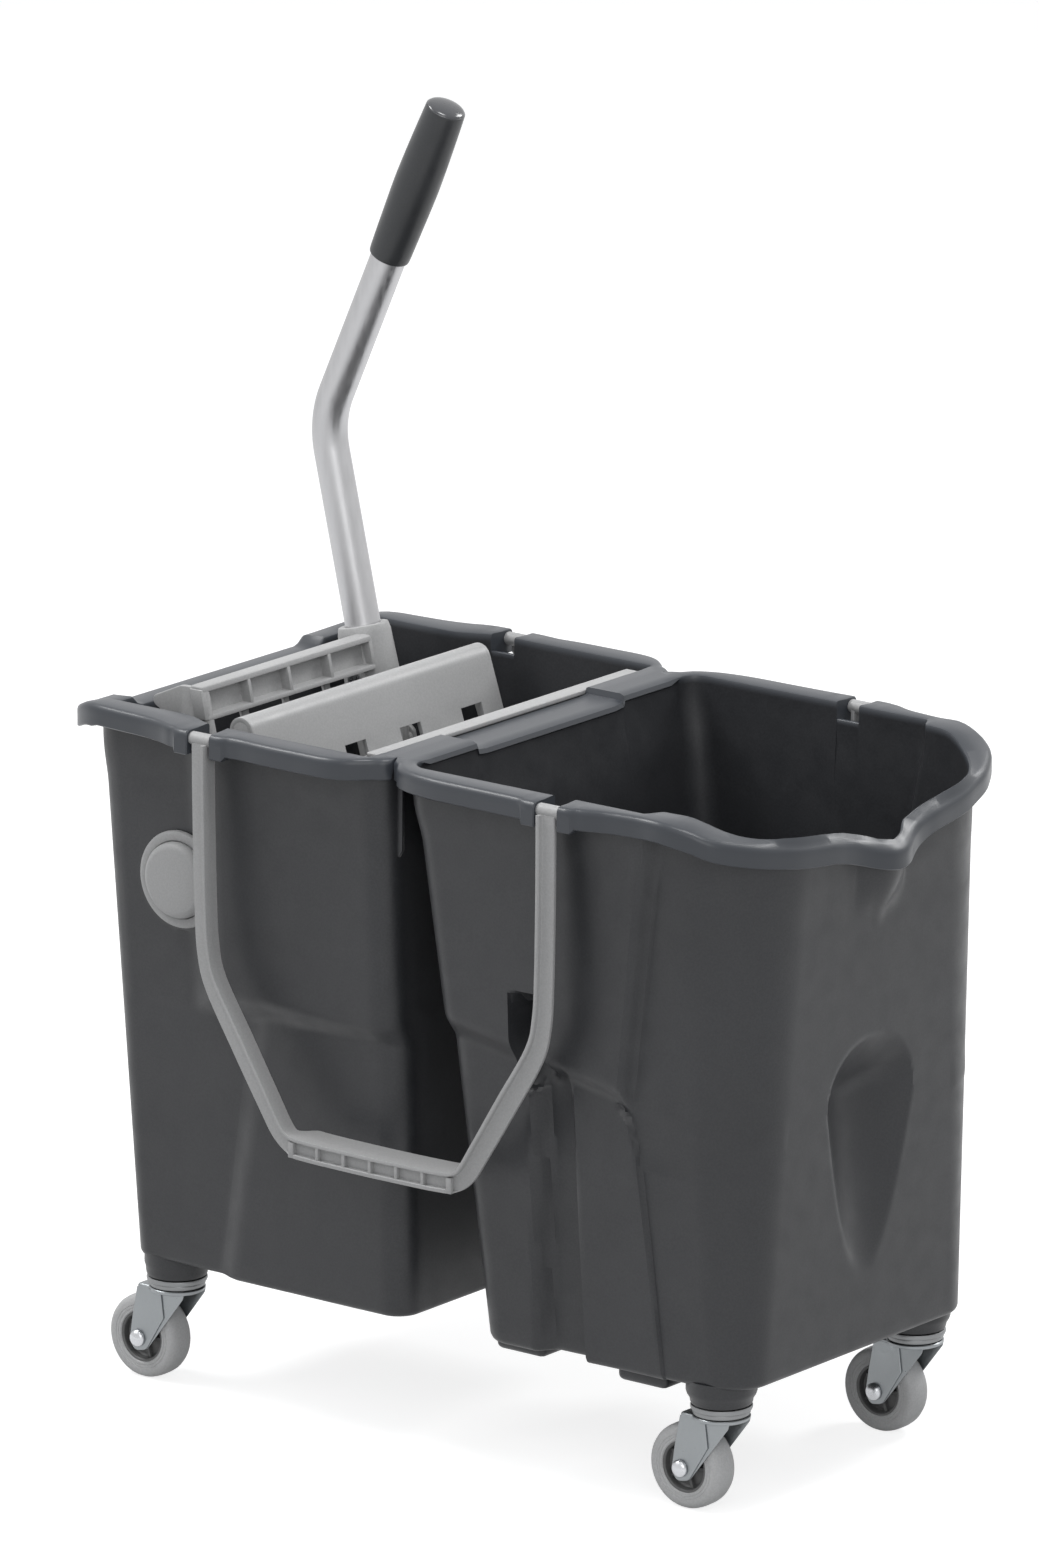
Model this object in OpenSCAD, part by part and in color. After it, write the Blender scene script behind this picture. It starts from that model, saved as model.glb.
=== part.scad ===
// Twin-pail cleaning trolley with a lever wringer, two swing handles and four swivel casters.
// Lengths along X are measured from the dividing wall and moved to the trolley's centre at the end.

/* [Pails] */
// Height of the rim above the floor
rim_z = 518; // [490:1:540]
// Height of the pails' underside
base_z = 98; // [90:1:110]
// Thickness of the moulded walls
wall = 3.2; // [2.4:0.1:4]
// Half width of the end walls at the rim
end_half_w = 154; // [150:0.5:156]
// Half width lost from rim to base
side_draft = 15.8; // [14:0.2:18]
// How far the side bulges stand out of the end walls' width at the rim
belly_out = 13; // [10:0.5:15]
// How far the side bulges would stand out at the base
belly_low_out = 11.8; // [9:0.2:13]
// How far the lower side panels stand out at the base
panel_out = 6.8; // [4:0.2:8.8]
// Length of the wringer pail at the rim, from the dividing wall
wringer_pail_len = 284; // [276:1:292]
// Length lost at the wringer pail's end wall from rim to base
wringer_end_draft = 23; // [18:0.5:27]
// Length of the spout pail at the rim, from the dividing wall
spout_pail_len = 314; // [306:1:318]
// Length lost at the spout pail's end wall from rim to base
spout_end_draft = 18.5; // [14:0.5:22]
// Place of the wringer pail's inner side wall
wringer_gap_x = -3.5; // [-5:0.5:-2]
// Place of the spout pail's inner side wall at the rim
spout_gap_x = 13.6; // [12:0.2:15]
// How far the spout pail's inner side wall leans away from the gap
spout_gap_draft = 53; // [40:1:60]
// Plan radius of the wringer pail's outer corners
wringer_corner_r = 30; // [24:1:36]
// Plan radius of the spout pail's outer corners
spout_corner_r = 72; // [60:1:80]
// Plan radius of the corners beside the gap
gap_corner_r = 20; // [14:1:24]

/* [Side panels] */
// Start of the ramp from the wringer pail's end zone to its bulge
ramp_start_x = -196; // [-200:1:-190]
// End of that ramp
ramp_end_x = -158; // [-164:1:-150]
// End of the spout pail's bulge at the rim
bulge_end_x = 238; // [232:1:242]
// Width of the step at the end of the bulge
bulge_step = 14; // [8:1:20]
// How far the bulge's end moves back from rim to base
bulge_draft = 60; // [40:1:70]
// Height of the ledge under the wringer pail's bulge, at its inner edge
ledge_z = 297; // [285:1:310]
// Rise of the ledges from inner to outer edge
ledge_rise = 23; // [15:1:30]
// Height of the spout pail's ledge at the gap
spout_ledge_z = 322; // [312:1:330]
// Slope of the spout pail's ledge along its length, in degrees
spout_ledge_tilt = 9; // [5:0.5:12]
// Place of the crease beside the wringer pail's lower panel at the base
panel_crease_x = -170; // [-176:1:-160]
// How far that crease leans toward the gap up to the rim
panel_crease_lean = 80; // [60:1:90]
// Place of the crease beside the spout pail's lower panel at the base
spout_crease_x = 229.5; // [222:0.5:236]
// How far the spout pail's crease leans toward the gap up to the rim
spout_crease_lean = 55; // [40:1:70]
// Width of the drain channel moulded into the spout pail's side
channel_w = 39; // [30:1:44]
// Depth of that channel
channel_d = 13; // [5:0.5:15]
// Place of the channel's middle
channel_x = 136.5; // [130:0.5:142]
// Width of the pocket above the channel
pocket_w = 28; // [22:1:32]
// Place of the pocket's middle
pocket_x = 119.5; // [116:0.5:123]
// Height of the pocket's top
pocket_top_z = 366; // [358:1:372]
// Depth of the pocket
pocket_d = 14; // [8:1:16]

/* [Rim] */
// Depth of the rim's skirt
skirt_h = 15.5; // [12:0.5:20]
// Thickness of the rim's top and skirt
rim_t = 3; // [2.4:0.1:3.6]
// Reach of the spout's tip beyond the spout pail's end wall
spout_lip = 17; // [14:0.5:20]
// Reach of the lip beyond the wringer pail's end wall
lip_out = 19; // [16:0.5:22]
// How far the rim stands out over the side bulges
rim_out = 19.5; // [18:0.5:21]
// Half width of the dividing wall's top
divider_half = 18; // [16:0.5:20]
// Half length of the low saddle on the dividing wall
saddle_half = 84; // [70:1:95]
// Depth of the saddle
saddle_d = 5.5; // [3:0.5:8]
// Depth of the dip in the lip below the wringer's cheeks
lip_dip = 12; // [10:0.5:13]
// Half length of that dip
lip_dip_half = 100; // [80:1:110]

/* [Pouring end] */
// Radius of the spout's cone at the rim
spout_r = 27; // [22:1:30]
// Height of the spout's cone
spout_h = 90; // [70:1:100]
// How far the spout's cone stands out of the end wall
spout_out = 12; // [9:0.5:14]
// Half width of the hand recess
recess_half = 50; // [40:1:56]
// Height of the hand recess's widest place
recess_z = 285; // [270:1:300]
// Height of the hand recess's lower tip
recess_tip_z = 158; // [145:1:175]
// Depth of the hand recess at its top
recess_d = 26; // [18:1:32]

/* [Swing handles] */
// Place of the handles' middle
handle_x = 1.5; // [0:0.5:3]
// Half distance between a handle's two pins
handle_half = 157.5; // [154:0.5:160]
// Height of the handles' pins
pin_z = 511.2; // [509:0.2:512]
// Distance of the handles' pins inside the rim's edge
pin_inset = 5.2; // [4.6:0.2:7]
// Radius of the handles' pins
pin_r = 4.5; // [4:0.1:4.8]
// Length of a handle's pin
pin_len = 28; // [24:1:32]
// Width of the notch in the rim
notch_w = 20; // [18:0.5:22]
// Depth of the notch in the pail's wall
notch_d = 13; // [8:0.5:14]
// Width of a handle's arm
arm_w = 14; // [12:0.5:16]
// Height of the grip's underside above the floor
grip_z = 217; // [208:1:222]
// Height of the grip bar
grip_h = 20; // [17:0.5:24]
// Half length of the grip bar
grip_half = 72; // [62:1:80]
// Thickness of the handle's plate and web
handle_t = 3.1; // [2.6:0.1:3.6]
// Depth of the web along the arms
web_d = 14; // [11:0.5:15]
// Depth of the web along the grip
grip_d = 28; // [22:1:30]
// Number of pockets in the grip
grip_pockets = 6; // [4:1:8]

/* [Wringer] */
// Place of the wringer's pivot along the trolley
pivot_x = -202; // [-206:1:-198]
// Height of the wringer's pivot
pivot_z = 394; // [388:1:400]
// Radius of the pivot axles
pivot_r = 6; // [5:0.5:7]
// Radius of the round cover plate at each pivot
ring_r = 36; // [32:0.5:38]
// Thickness of the cover plate
ring_t = 4; // [3:0.5:6]
// Radius of the domed cap
cap_r = 29; // [25:0.5:31]
// Height of the domed cap
cap_h = 6.5; // [5:0.5:8]
// Distance of the press frame's sides inside the press plate's sides
frame_in = 25; // [21:1:31]
// Depth of the press frame's cells
cell_d = 11; // [8:0.5:13]
// Height of the press frame's top flange above the floor
frame_top_z = 526; // [522:1:528]
// Forward lean of the press frame's front face, as run over drop
frame_lean = 0.227; // [0.2:0.005:0.25]
// Place of the press frame's front face at its top
frame_face_x = -214; // [-217:0.5:-211]
// Distance of the press plate's sides inside the fixed sieve's sides
plate_in = 5; // [4.8:0.1:12]
// Place of the press plate's front face at its top
plate_face_x = -146.7; // [-150:0.5:-143]
// Height of the press plate's top
plate_top_z = 518; // [514:0.5:520]
// Radius of the press plate's rolled top edge
plate_roll_r = 10.6; // [9:0.2:12]
// Place of the press plate's foot pivot
foot_x = -75; // [-78:0.5:-72]
// Height of the press plate's foot pivot
foot_z = 286; // [282:1:290]
// Radius of the foot pivot's pin
foot_pin_r = 4; // [3:0.5:5]
// Radius of the barrel round the foot pin
foot_barrel_r = 9; // [7.5:0.5:10]
// Thickness of the wringer's panels
panel_t = 3.6; // [3:0.1:4]
// Radius of the press frame's cheeks round the pivot
cheek_r = 22; // [19:1:24]
// Width of the drain holes
drain_w = 23.5; // [18:0.5:27]
// Height of the drain holes
drain_h = 11; // [8:0.5:13]
// Distance of the inner drain holes from the middle plane
drain_inner_y = 31.5; // [24:0.5:40]
// Distance of the outer drain holes from the middle plane
drain_outer_y = 102.5; // [90:0.5:115]
// Spacing of the rows of drain holes
drain_pitch_z = 34; // [28:1:40]
// Number of rows of drain holes
drain_rows = 5; // [3:1:5]
// Distance of the fixed sieve's sides inside the end walls' width
sieve_in = 12; // [11:0.5:14]
// Width of the sieve's top strip
strip_w = 12; // [9:0.5:14]
// Height of the sieve's top strip above the floor
strip_z = 516; // [514:0.5:517]

/* [Lever] */
// Distance of the lever inside the press frame's side
lever_inset = 17; // [15:1:22]
// Outer radius of the lever's tube
tube_r = 13.15; // [11:0.05:14]
// Wall of the lever's tube
tube_wall = 2; // [1.5:0.1:3]
// Backward lean of the lever's lower part, in degrees
lever_lean = 12.8; // [11:0.1:14]
// Change of direction at the lever's bend, in degrees
lever_bend = 37.3; // [30:0.1:42]
// Distance from the pivot to the corner of the bend
lever_corner = 290.8; // [270:0.2:310]
// Radius of the bend
bend_r = 70; // [60:1:90]
// Length of the lever's upper part from the corner to the grip
lever_upper = 143; // [124:1:150]
// Length of the rubber grip
rubber_len = 131; // [120:1:150]
// Radius of the rubber grip at its middle
rubber_r = 16.8; // [15.5:0.1:19]
// Radius of the socket that holds the tube
socket_r = 18; // [17:0.2:19]
// Length of that socket from the pivot
socket_len = 138; // [130:1:146]
// Radius of the screw through the socket
screw_r = 3; // [2:0.5:4]
// Distance of the screw from the pivot
screw_up = 100; // [90:1:110]

/* [Casters] */
// Distance from the dividing wall to the swivel axes under the wringer pail
caster_left_x = 239; // [236:1:242]
// Distance from the dividing wall to the swivel axes under the spout pail
caster_right_x = 260; // [256:1:262]
// Distance of the swivel axes inside the base's sides
caster_in = 24; // [22:0.5:26]
// Radius of the wheels
wheel_r = 31.5; // [30:0.1:32]
// Width of the tyres
tyre_w = 22; // [18:0.5:23]
// Trail of the wheels behind the swivel axes
trail = 25.5; // [23:0.5:28]
// Radius of the hub inside the tyre
hub_r = 19; // [16:0.5:21]
// Radius of the wheel's axle bolt
axle_r = 4; // [3:0.25:5]
// Radius of the raceway
race_r = 22; // [20:0.5:23]
// Thickness of the raceway
race_h = 8; // [6:0.5:9]
// Radius of the kingpin
kingpin_r = 5; // [4:0.25:6]
// Thickness of the pressed steel fork
fork_t = 2; // [1.6:0.1:2.4]
// Radius of the moulded boss above each caster
boss_r = 25.5; // [24:0.5:27]

/* [Hidden] */
$fn = 48;
// Gap between a shaft and the bore that turns on it
run_gap = 0.05;
// Gap between faces that move past each other
face_gap = 0.4;
// Gap between the press frame's hubs and the bosses on the pail's walls
frame_clear = 14;
over = 1;
end_half_base = end_half_w - side_draft;
belly_half_w = end_half_w + belly_out;
belly_half_base = end_half_base + belly_low_out;
panel_half_base = end_half_base + panel_out;
rim_half_w = belly_half_w + rim_out;
sieve_half = end_half_w - sieve_in;
plate_half = sieve_half - plate_in;
frame_half = plate_half - frame_in;
caster_y = end_half_base - caster_in;
spout_reach = spout_pail_len + spout_lip;
left_end = -wringer_pail_len - lip_out;
pin_y = rim_half_w - pin_inset;
lever_y = frame_half - lever_inset;
divider_x = (max(-left_end, caster_left_x + trail + wheel_r + face_gap) - spout_reach) / 2;
pail_h = rim_z - base_z;
boss_z = 82;
lever_tip = lever_upper + rubber_len;
stack_z = boss_z - race_h;
fork_z = stack_z - face_gap;

// Points on an arc
function arc(cx, cy, r, a0, a1, n) =
    [for (i = [0:n]) [cx + r * cos(a0 + (a1 - a0) * i / n), cy + r * sin(a0 + (a1 - a0) * i / n)]];
// The upper half of a symmetric outline, followed by its mirror image
function whole(half) = concat(half, [for (i = [len(half) - 1:-1:0]) [half[i][0], -half[i][1]]]);

// An outline in X and Z, drawn out along Y from y0 to y1
module along_y(y0, y1) {
    translate([0, y1, 0]) rotate([90, 0, 0]) linear_extrude(y1 - y0) children();
}
// An outline in Y and Z, drawn out along X from x0 to x1
module along_x(x0, x1) {
    translate([x0, 0, 0]) rotate([90, 0, 90]) linear_extrude(x1 - x0) children();
}
module both_sides() {
    children();
    mirror([0, 1, 0]) children();
}
module from_divider() {
    translate([divider_x, 0, 0]) children();
}
// A pail's outline at the rim, tapered down to the base about the line x = cx
// t is the floor's thickness, and an inner face with t above 0 also opens through the rim
module tapered(cx, kx, ky, t) {
    part_h = (pail_h - t) / pail_h;
    translate([cx, 0, rim_z]) mirror([0, 0, 1])
        linear_extrude(pail_h - t, slices = 1, scale = [1 + (kx - 1) * part_h, 1 + (ky - 1) * part_h])
            translate([-cx, 0]) children();
    if (t > 0) translate([0, 0, rim_z - over]) linear_extrude(2 * over) children();
}

// The wringer pail's body, its bulge and its lower panel; t is the inset of the inner face
module wringer_end_zone(t) {
    r = wringer_corner_r - t;
    g = gap_corner_r - t;
    hw = end_half_w - t;
    x0 = t - wringer_pail_len;
    x1 = wringer_gap_x - t;
    tapered(wringer_gap_x, 1 - wringer_end_draft / wringer_pail_len, end_half_base / end_half_w, t)
        polygon(whole(concat(arc(x0 + r, hw - r, r, 180, 90, 6), arc(x1 - g, hw - g, g, 90, 0, 5))));
}
module wringer_bulge(t) {
    g = gap_corner_r - t;
    hw = belly_half_w - t;
    x1 = wringer_gap_x - t;
    intersection() {
        tapered(wringer_gap_x, 1, belly_half_base / belly_half_w, t)
            polygon(whole(concat([[ramp_start_x, end_half_w - t - over], [ramp_start_x, end_half_w - t],
                [ramp_end_x, hw]], arc(x1 - g, hw - g, g, 90, 0, 5))));
        ledge_keep(ledge_z + t, 0, ramp_start_x - over, 0);
    }
}
module wringer_panel(t) {
    g = gap_corner_r - t;
    hw = end_half_w - t;
    x1 = wringer_gap_x - t;
    intersection() {
        tapered(wringer_gap_x, 1, panel_half_base / end_half_w, t)
            polygon(whole(concat([[t - wringer_pail_len + 60, hw]], arc(x1 - g, hw - g, g, 90, 0, 5))));
        along_y(-rim_half_w, rim_half_w)
            polygon([[panel_crease_x + t, base_z - over], [0, base_z - over], [0, rim_z],
                [panel_crease_x + panel_crease_lean + t, rim_z]]);
    }
}
// How far the ledges start inside the end zones' width, and how far they run outward
ledge_in = 8;
ledge_run = 15;
// Everything above a ledge that rises outward, for x from x0 to x1
module ledge_keep(z, tilt, x0, x1) {
    inner = end_half_w - ledge_in;
    translate([spout_gap_x * sign(tilt), 0, z]) rotate([0, tilt, 0])
        along_x(x0, x1)
            polygon([[-inner - 4 * ledge_run, pail_h], [-inner - 4 * ledge_run, ledge_rise * 2],
                [-inner - ledge_run, ledge_rise], [-inner, 0], [inner, 0],
                [inner + ledge_run, ledge_rise], [inner + 4 * ledge_run, ledge_rise * 2],
                [inner + 4 * ledge_run, pail_h]]);
}
module wringer_pail(t) {
    wringer_end_zone(t);
    wringer_bulge(t);
    wringer_panel(t);
}

// The spout pail, made the same way
function spout_cx() = (spout_pail_len * spout_kx() - (spout_pail_len - spout_end_draft)) / (spout_kx() - 1);
function spout_kx() =
    (spout_pail_len - spout_end_draft - spout_gap_x - spout_gap_draft) / (spout_pail_len - spout_gap_x);
function bulge_kx() = (bulge_end_x - bulge_draft - spout_gap_x - spout_gap_draft)
    / (bulge_end_x - spout_gap_x);
function bulge_cx() = (bulge_end_x * bulge_kx() - (bulge_end_x - bulge_draft)) / (bulge_kx() - 1);
module spout_end_zone(t) {
    r = spout_corner_r - t;
    g = gap_corner_r - t;
    hw = end_half_w - t;
    x0 = spout_gap_x + t;
    x1 = spout_pail_len - t;
    tapered(spout_cx(), spout_kx(), end_half_base / end_half_w, t)
        polygon(whole(concat(arc(x0 + g, hw - g, g, 180, 90, 5), arc(x1 - r, hw - r, r, 90, 0, 10))));
}
module spout_bulge(t) {
    g = gap_corner_r - t;
    hw = belly_half_w - t;
    x0 = spout_gap_x + t;
    intersection() {
        tapered(bulge_cx(), bulge_kx(), belly_half_base / belly_half_w, t)
            polygon(whole(concat(arc(x0 + g, hw - g, g, 180, 90, 5),
                [[bulge_end_x - bulge_step, hw], [bulge_end_x, end_half_w - t],
                [bulge_end_x, end_half_w - t - over]])));
        ledge_keep(spout_ledge_z + t, spout_ledge_tilt, -80, spout_pail_len);
    }
}
module spout_panel(t) {
    g = gap_corner_r - t;
    hw = end_half_w - t;
    x0 = spout_gap_x + t;
    intersection() {
        tapered(spout_gap_x + spout_gap_draft / (1 - bulge_kx()), bulge_kx(),
            panel_half_base / end_half_w, t)
            polygon(whole(concat(arc(x0 + g, hw - g, g, 180, 90, 5), [[spout_pail_len * 1.6, hw]])));
        along_y(-rim_half_w, rim_half_w)
            polygon([[spout_crease_x - t, base_z - over], [0, base_z - over], [0, rim_z],
                [spout_crease_x - spout_crease_lean - t, rim_z]]);
    }
}
// Features pressed into the spout pail; t grows them for the inner face
module side_pocket(t) {
    both_sides() {
        translate([channel_x - channel_w / 2 - t, panel_half_base - channel_d + 3 - t, base_z - over - t])
            cube([channel_w + 2 * t, 60, spout_ledge_z - base_z - ledge_rise - 11 + 2 * t]);
        translate([pocket_x - pocket_w / 2 - t, panel_half_base + 4 - pocket_d + 3 - t,
            spout_ledge_z - 16 - t])
            cube([pocket_w + 2 * t, 60, pocket_top_z - spout_ledge_z + 16 + 2 * t]);
    }
}
module hand_recess(t) {
    end_x = spout_pail_len - spout_end_draft * (rim_z - recess_z) / pail_h;
    tip_x = spout_pail_len - spout_end_draft * (rim_z - recess_tip_z) / pail_h;
    intersection() {
        along_x(end_x - 80, end_x + 40)
            polygon(concat([[0, recess_tip_z - t]], arc(0, recess_z, recess_half + t, -20, 200, 14)));
        along_y(-recess_half - 10, recess_half + 10)
            polygon([[tip_x + 3 - t * 1.2, recess_tip_z - 10], [end_x - recess_d - t, recess_z + 20],
                [end_x - recess_d + 4 - t, recess_z + 70], [end_x + 40, recess_z + 70],
                [end_x + 40, recess_tip_z - 10]]);
    }
}
module spout_cone(t) {
    top_z = rim_z - 44;
    wall_x = spout_pail_len - spout_end_draft * (rim_z - top_z) / pail_h;
    translate([wall_x + spout_out - spout_r, 0, top_z - spout_h])
        cylinder(h = spout_h + 60, r1 = 0.5, r2 = (spout_r - t) * (spout_h + 60) / spout_h);
}
module spout_pail(t) {
    difference() {
        union() {
            spout_end_zone(t);
            spout_bulge(t);
            spout_panel(t);
        }
        side_pocket(t);
        hand_recess(t);
    }
}

// The rim's outline seen from above: over the wringer pail, at the handles' notches, over the spout pail
wringer_rim = [
    [left_end, 0], [left_end, rim_half_w - 48.5], [left_end + 7, rim_half_w - 29.5],
    [left_end + 25, rim_half_w - 18.5],
    [left_end + 39, rim_half_w - 13.7], [left_end + 59, rim_half_w - 11.5],
    [left_end + 92, rim_half_w - 5.5]
];
notch_rim = [
    [handle_x - handle_half - 26, rim_half_w], [handle_x - handle_half + 25, rim_half_w + 0.5],
    [handle_x - handle_half + 37, rim_half_w - 1], [handle_x - handle_half + 57, rim_half_w + 0.5],
    [-44, rim_half_w + 0.5], [-29, rim_half_w - 3.5], [-17, rim_half_w - 11.5], [-9, rim_half_w - 19.5],
    [-1, rim_half_w - 28.5], [7, rim_half_w - 23.5], [spout_gap_x, rim_half_w - 14.5],
    [spout_gap_x + 13, rim_half_w - 7.5],
    [spout_gap_x + 29, rim_half_w - 3.5], [spout_gap_x + 49, rim_half_w - 1],
    [handle_x + handle_half - 27, rim_half_w],
    [handle_x + handle_half + 27, rim_half_w]
];
spout_rim = [
    [spout_reach - 129, rim_half_w - 6], [spout_reach - 113, rim_half_w - 8.5],
    [spout_reach - 97, rim_half_w - 10],
    [spout_reach - 82, rim_half_w - 8.5], [spout_reach - 70.5, rim_half_w - 10.5],
    [spout_reach - 57, rim_half_w - 15.5],
    [spout_reach - 47.5, rim_half_w - 20.5], [spout_reach - 40, rim_half_w - 27.5],
    [spout_reach - 32, rim_half_w - 40.5],
    [spout_reach - 25, rim_half_w - 54.5], [spout_reach - 20, rim_half_w - 71.5],
    [spout_reach - 16, rim_half_w - 88.5], [spout_reach - 14, rim_half_w - 109.5],
    [spout_reach - 12.5, 60], [spout_reach - 12.5, 44], [spout_reach - 9.5, 31], [spout_reach - 6.5, 23],
    [spout_reach - 3, 13], [spout_reach, 4]
];
rim_half = concat(wringer_rim, notch_rim, spout_rim);
// How far the rim's top lies below its highest level, seen from the side
rim_drop = [
    [left_end - over, 12], [left_end + 16, 7], [left_end + 27, 1.5], [left_end + 37, 0],
    [spout_reach - 82, 0],
    [spout_reach - 70.5, 2], [spout_reach - 57, 5.4], [spout_reach - 47.5, 10], [spout_reach - 40, 12],
    [spout_reach - 32, 16], [spout_reach - 25, 19], [spout_reach - 20, 22], [spout_reach - 16, 25],
    [spout_reach - 12.5, 31], [spout_reach - 9.5, 35.5], [spout_reach - 6.5, 38.5], [spout_reach + over, 43]
];
// A band under the rim's top line, from drop a to drop b
module rim_band(a, b) {
    along_y(-200, 200)
        polygon(concat([for (p = rim_drop) [p[0], rim_z - p[1] - a]],
            [for (i = [len(rim_drop) - 1:-1:0]) [rim_drop[i][0], rim_z - rim_drop[i][1] - b]]));
}
module rim_shape(t) {
    translate([0, 0, base_z])
        linear_extrude(pail_h + 10)
            offset(delta = -t) polygon(whole(rim_half));
}
module rim() {
    difference() {
        intersection() {
            rim_shape(0);
            rim_band(0, skirt_h);
        }
        intersection() {
            rim_shape(rim_t);
            rim_band(rim_t, skirt_h + over);
        }
    }
}
// Blocks in the rim that hold the handles' pins
block_w = 9;
notch_room = 9.6;
module pin_blocks() {
    for (s = [-1, 1])
        translate([handle_x + s * handle_half - notch_w / 2 - block_w, pin_y - notch_room, rim_z - skirt_h])
            cube([notch_w + 2 * block_w, 14, skirt_h - 0.5]);
}
// Notches through the rim and the wall's top, and the bores for the pins
module pin_notches() {
    for (s = [-1, 1])
        translate([handle_x + s * handle_half, 0, 0]) {
            translate([-notch_w / 2, pin_y - notch_room, rim_z - skirt_h - 2 * block_w])
                cube([notch_w, 3 * notch_room, skirt_h + 3 * block_w]);
            translate([-notch_w / 2, end_half_w, rim_z - notch_d])
                cube([notch_w, 3 * notch_room, notch_d + over]);
            translate([-pin_len / 2 - 0.5, pin_y, pin_z])
                rotate([0, 90, 0]) cylinder(h = pin_len + 1, r = pin_r + run_gap);
        }
}
// Seat of a pivot's cover plate, an inner boss and the bore for the axle
seat_y = end_half_w - (end_half_w - end_half_base) * (rim_z - pivot_z - ring_r) / pail_h + face_gap;
seat_t = 8;
collar_t = 17;
// Drawn from the pivot outward along Y
module at_pivot() {
    translate([pivot_x, 0, pivot_z]) rotate([-90, 0, 0]) children();
}
module pivot_boss() {
    at_pivot() {
        translate([0, 0, seat_y - seat_t]) cylinder(h = seat_t, r = ring_r - 1);
        translate([0, 0, seat_y - seat_t]) pivot_collar();
        translate([0, 0, frame_half + frame_clear])
            cylinder(h = seat_y - frame_half - frame_clear, r = 2 * pivot_r + 2);
    }
}
// A thick collar where the bulge's ramp runs into the cover plate's seat
module pivot_collar() {
    translate([collar_t - wall * 2, 0, 0]) intersection() {
        cylinder(h = collar_t, r = ring_r - 1);
        translate([0, -ring_r, 0]) cube([ring_r, 2 * ring_r, collar_t]);
    }
}
module pivot_spotface() {
    at_pivot() translate([0, 0, seat_y]) cylinder(h = seat_y, r = ring_r + 0.6);
}
module twin_tub() {
    color([0.25, 0.255, 0.265]) from_divider() {
        difference() {
            union() {
                intersection() {
                    union() {
                        wringer_pail(0);
                        spout_pail(0);
                        intersection() {
                            spout_cone(0);
                            translate([0, -100, base_z]) cube([spout_reach, 200, pail_h]);
                        }
                    }
                    rim_band(0, 430);
                }
                rim();
                saddle_plate();
                lip_plate();
                both_sides() intersection() {
                    pin_blocks();
                    rim_shape(0);
                }
                both_sides() pivot_boss();
                sieve_shelf();
                gap_ribs();
                caster_bosses();
                feet();
            }
            difference() {
                union() {
                    wringer_pail(wall);
                    spout_pail(wall);
                    spout_cone(wall);
                }
                both_sides() pivot_boss();
                sieve_shelf();
                divider_top();
            }
            both_sides() pin_notches();
            both_sides() pivot_spotface();
            both_sides() at_pivot() cylinder(h = rim_half_w, r = pivot_r);
            saddle();
            lip_cut();
            kingpin_holes();
        }
    }
}
// The dividing wall's top, with a low saddle in its middle
module divider_top() {
    translate([-divider_half, -rim_half_w, rim_z - rim_t])
        cube([2 * divider_half, 2 * rim_half_w, rim_t + over]);
    saddle_plate();
}
module saddle_plate() {
    translate([-divider_half, -saddle_half - rim_t, rim_z - saddle_d - rim_t])
        cube([2 * divider_half, 2 * saddle_half + 2 * rim_t, saddle_d + rim_t - over]);
}
module lip_plate() {
    translate([left_end, -lip_dip_half - rim_t, rim_z - lip_dip - rim_t])
        cube([lip_out + wall / 2, 2 * lip_dip_half + 2 * rim_t, rim_t]);
}
// Shelf along the dividing wall that carries the sieve's top strip
module sieve_shelf() {
    translate([-divider_half - strip_w + 2, -end_half_w + 12, strip_z - panel_t - 6])
        cube([divider_half + strip_w - 2 + wringer_gap_x, 2 * end_half_w - 24, 6]);
}
module gap_ribs() {
    both_sides() along_y(end_half_w - 6, end_half_w - 3)
        polygon([[wringer_gap_x - 1, rim_z - 1], [wringer_gap_x - 1, rim_z - 90],
            [spout_gap_x + 12, rim_z - 60],
            [spout_gap_x + 2, rim_z - 1]]);
}
module saddle() {
    translate([-divider_half - over, -saddle_half, rim_z - saddle_d])
        cube([2 * divider_half + 2 * over, 2 * saddle_half, saddle_d + over]);
}
module lip_cut() {
    translate([left_end - over, -lip_dip_half, rim_z - lip_dip])
        cube([lip_out + wall + 3, 2 * lip_dip_half, lip_dip + over]);
}
module caster_bosses() {
    for (x = [-caster_left_x, caster_right_x])
        both_sides() translate([x, caster_y, boss_z]) {
            cylinder(h = 8, r1 = boss_r - 2.5, r2 = boss_r);
            translate([0, 0, 8]) cylinder(h = base_z - boss_z - 8 + 4, r = boss_r);
        }
}
module kingpin_holes() {
    for (x = [-caster_left_x, caster_right_x])
        both_sides() translate([x, caster_y, boss_z - over])
            cylinder(h = base_z - boss_z + over - 2, r = kingpin_r);
}
foot_w = 44;
module feet() {
    both_sides() {
        translate([73, panel_half_base - 45, base_z - 7]) cube([foot_w, 36, 9]);
        translate([181, panel_half_base - 45, base_z - 10]) cube([foot_w, 34, 12]);
    }
}

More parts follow.
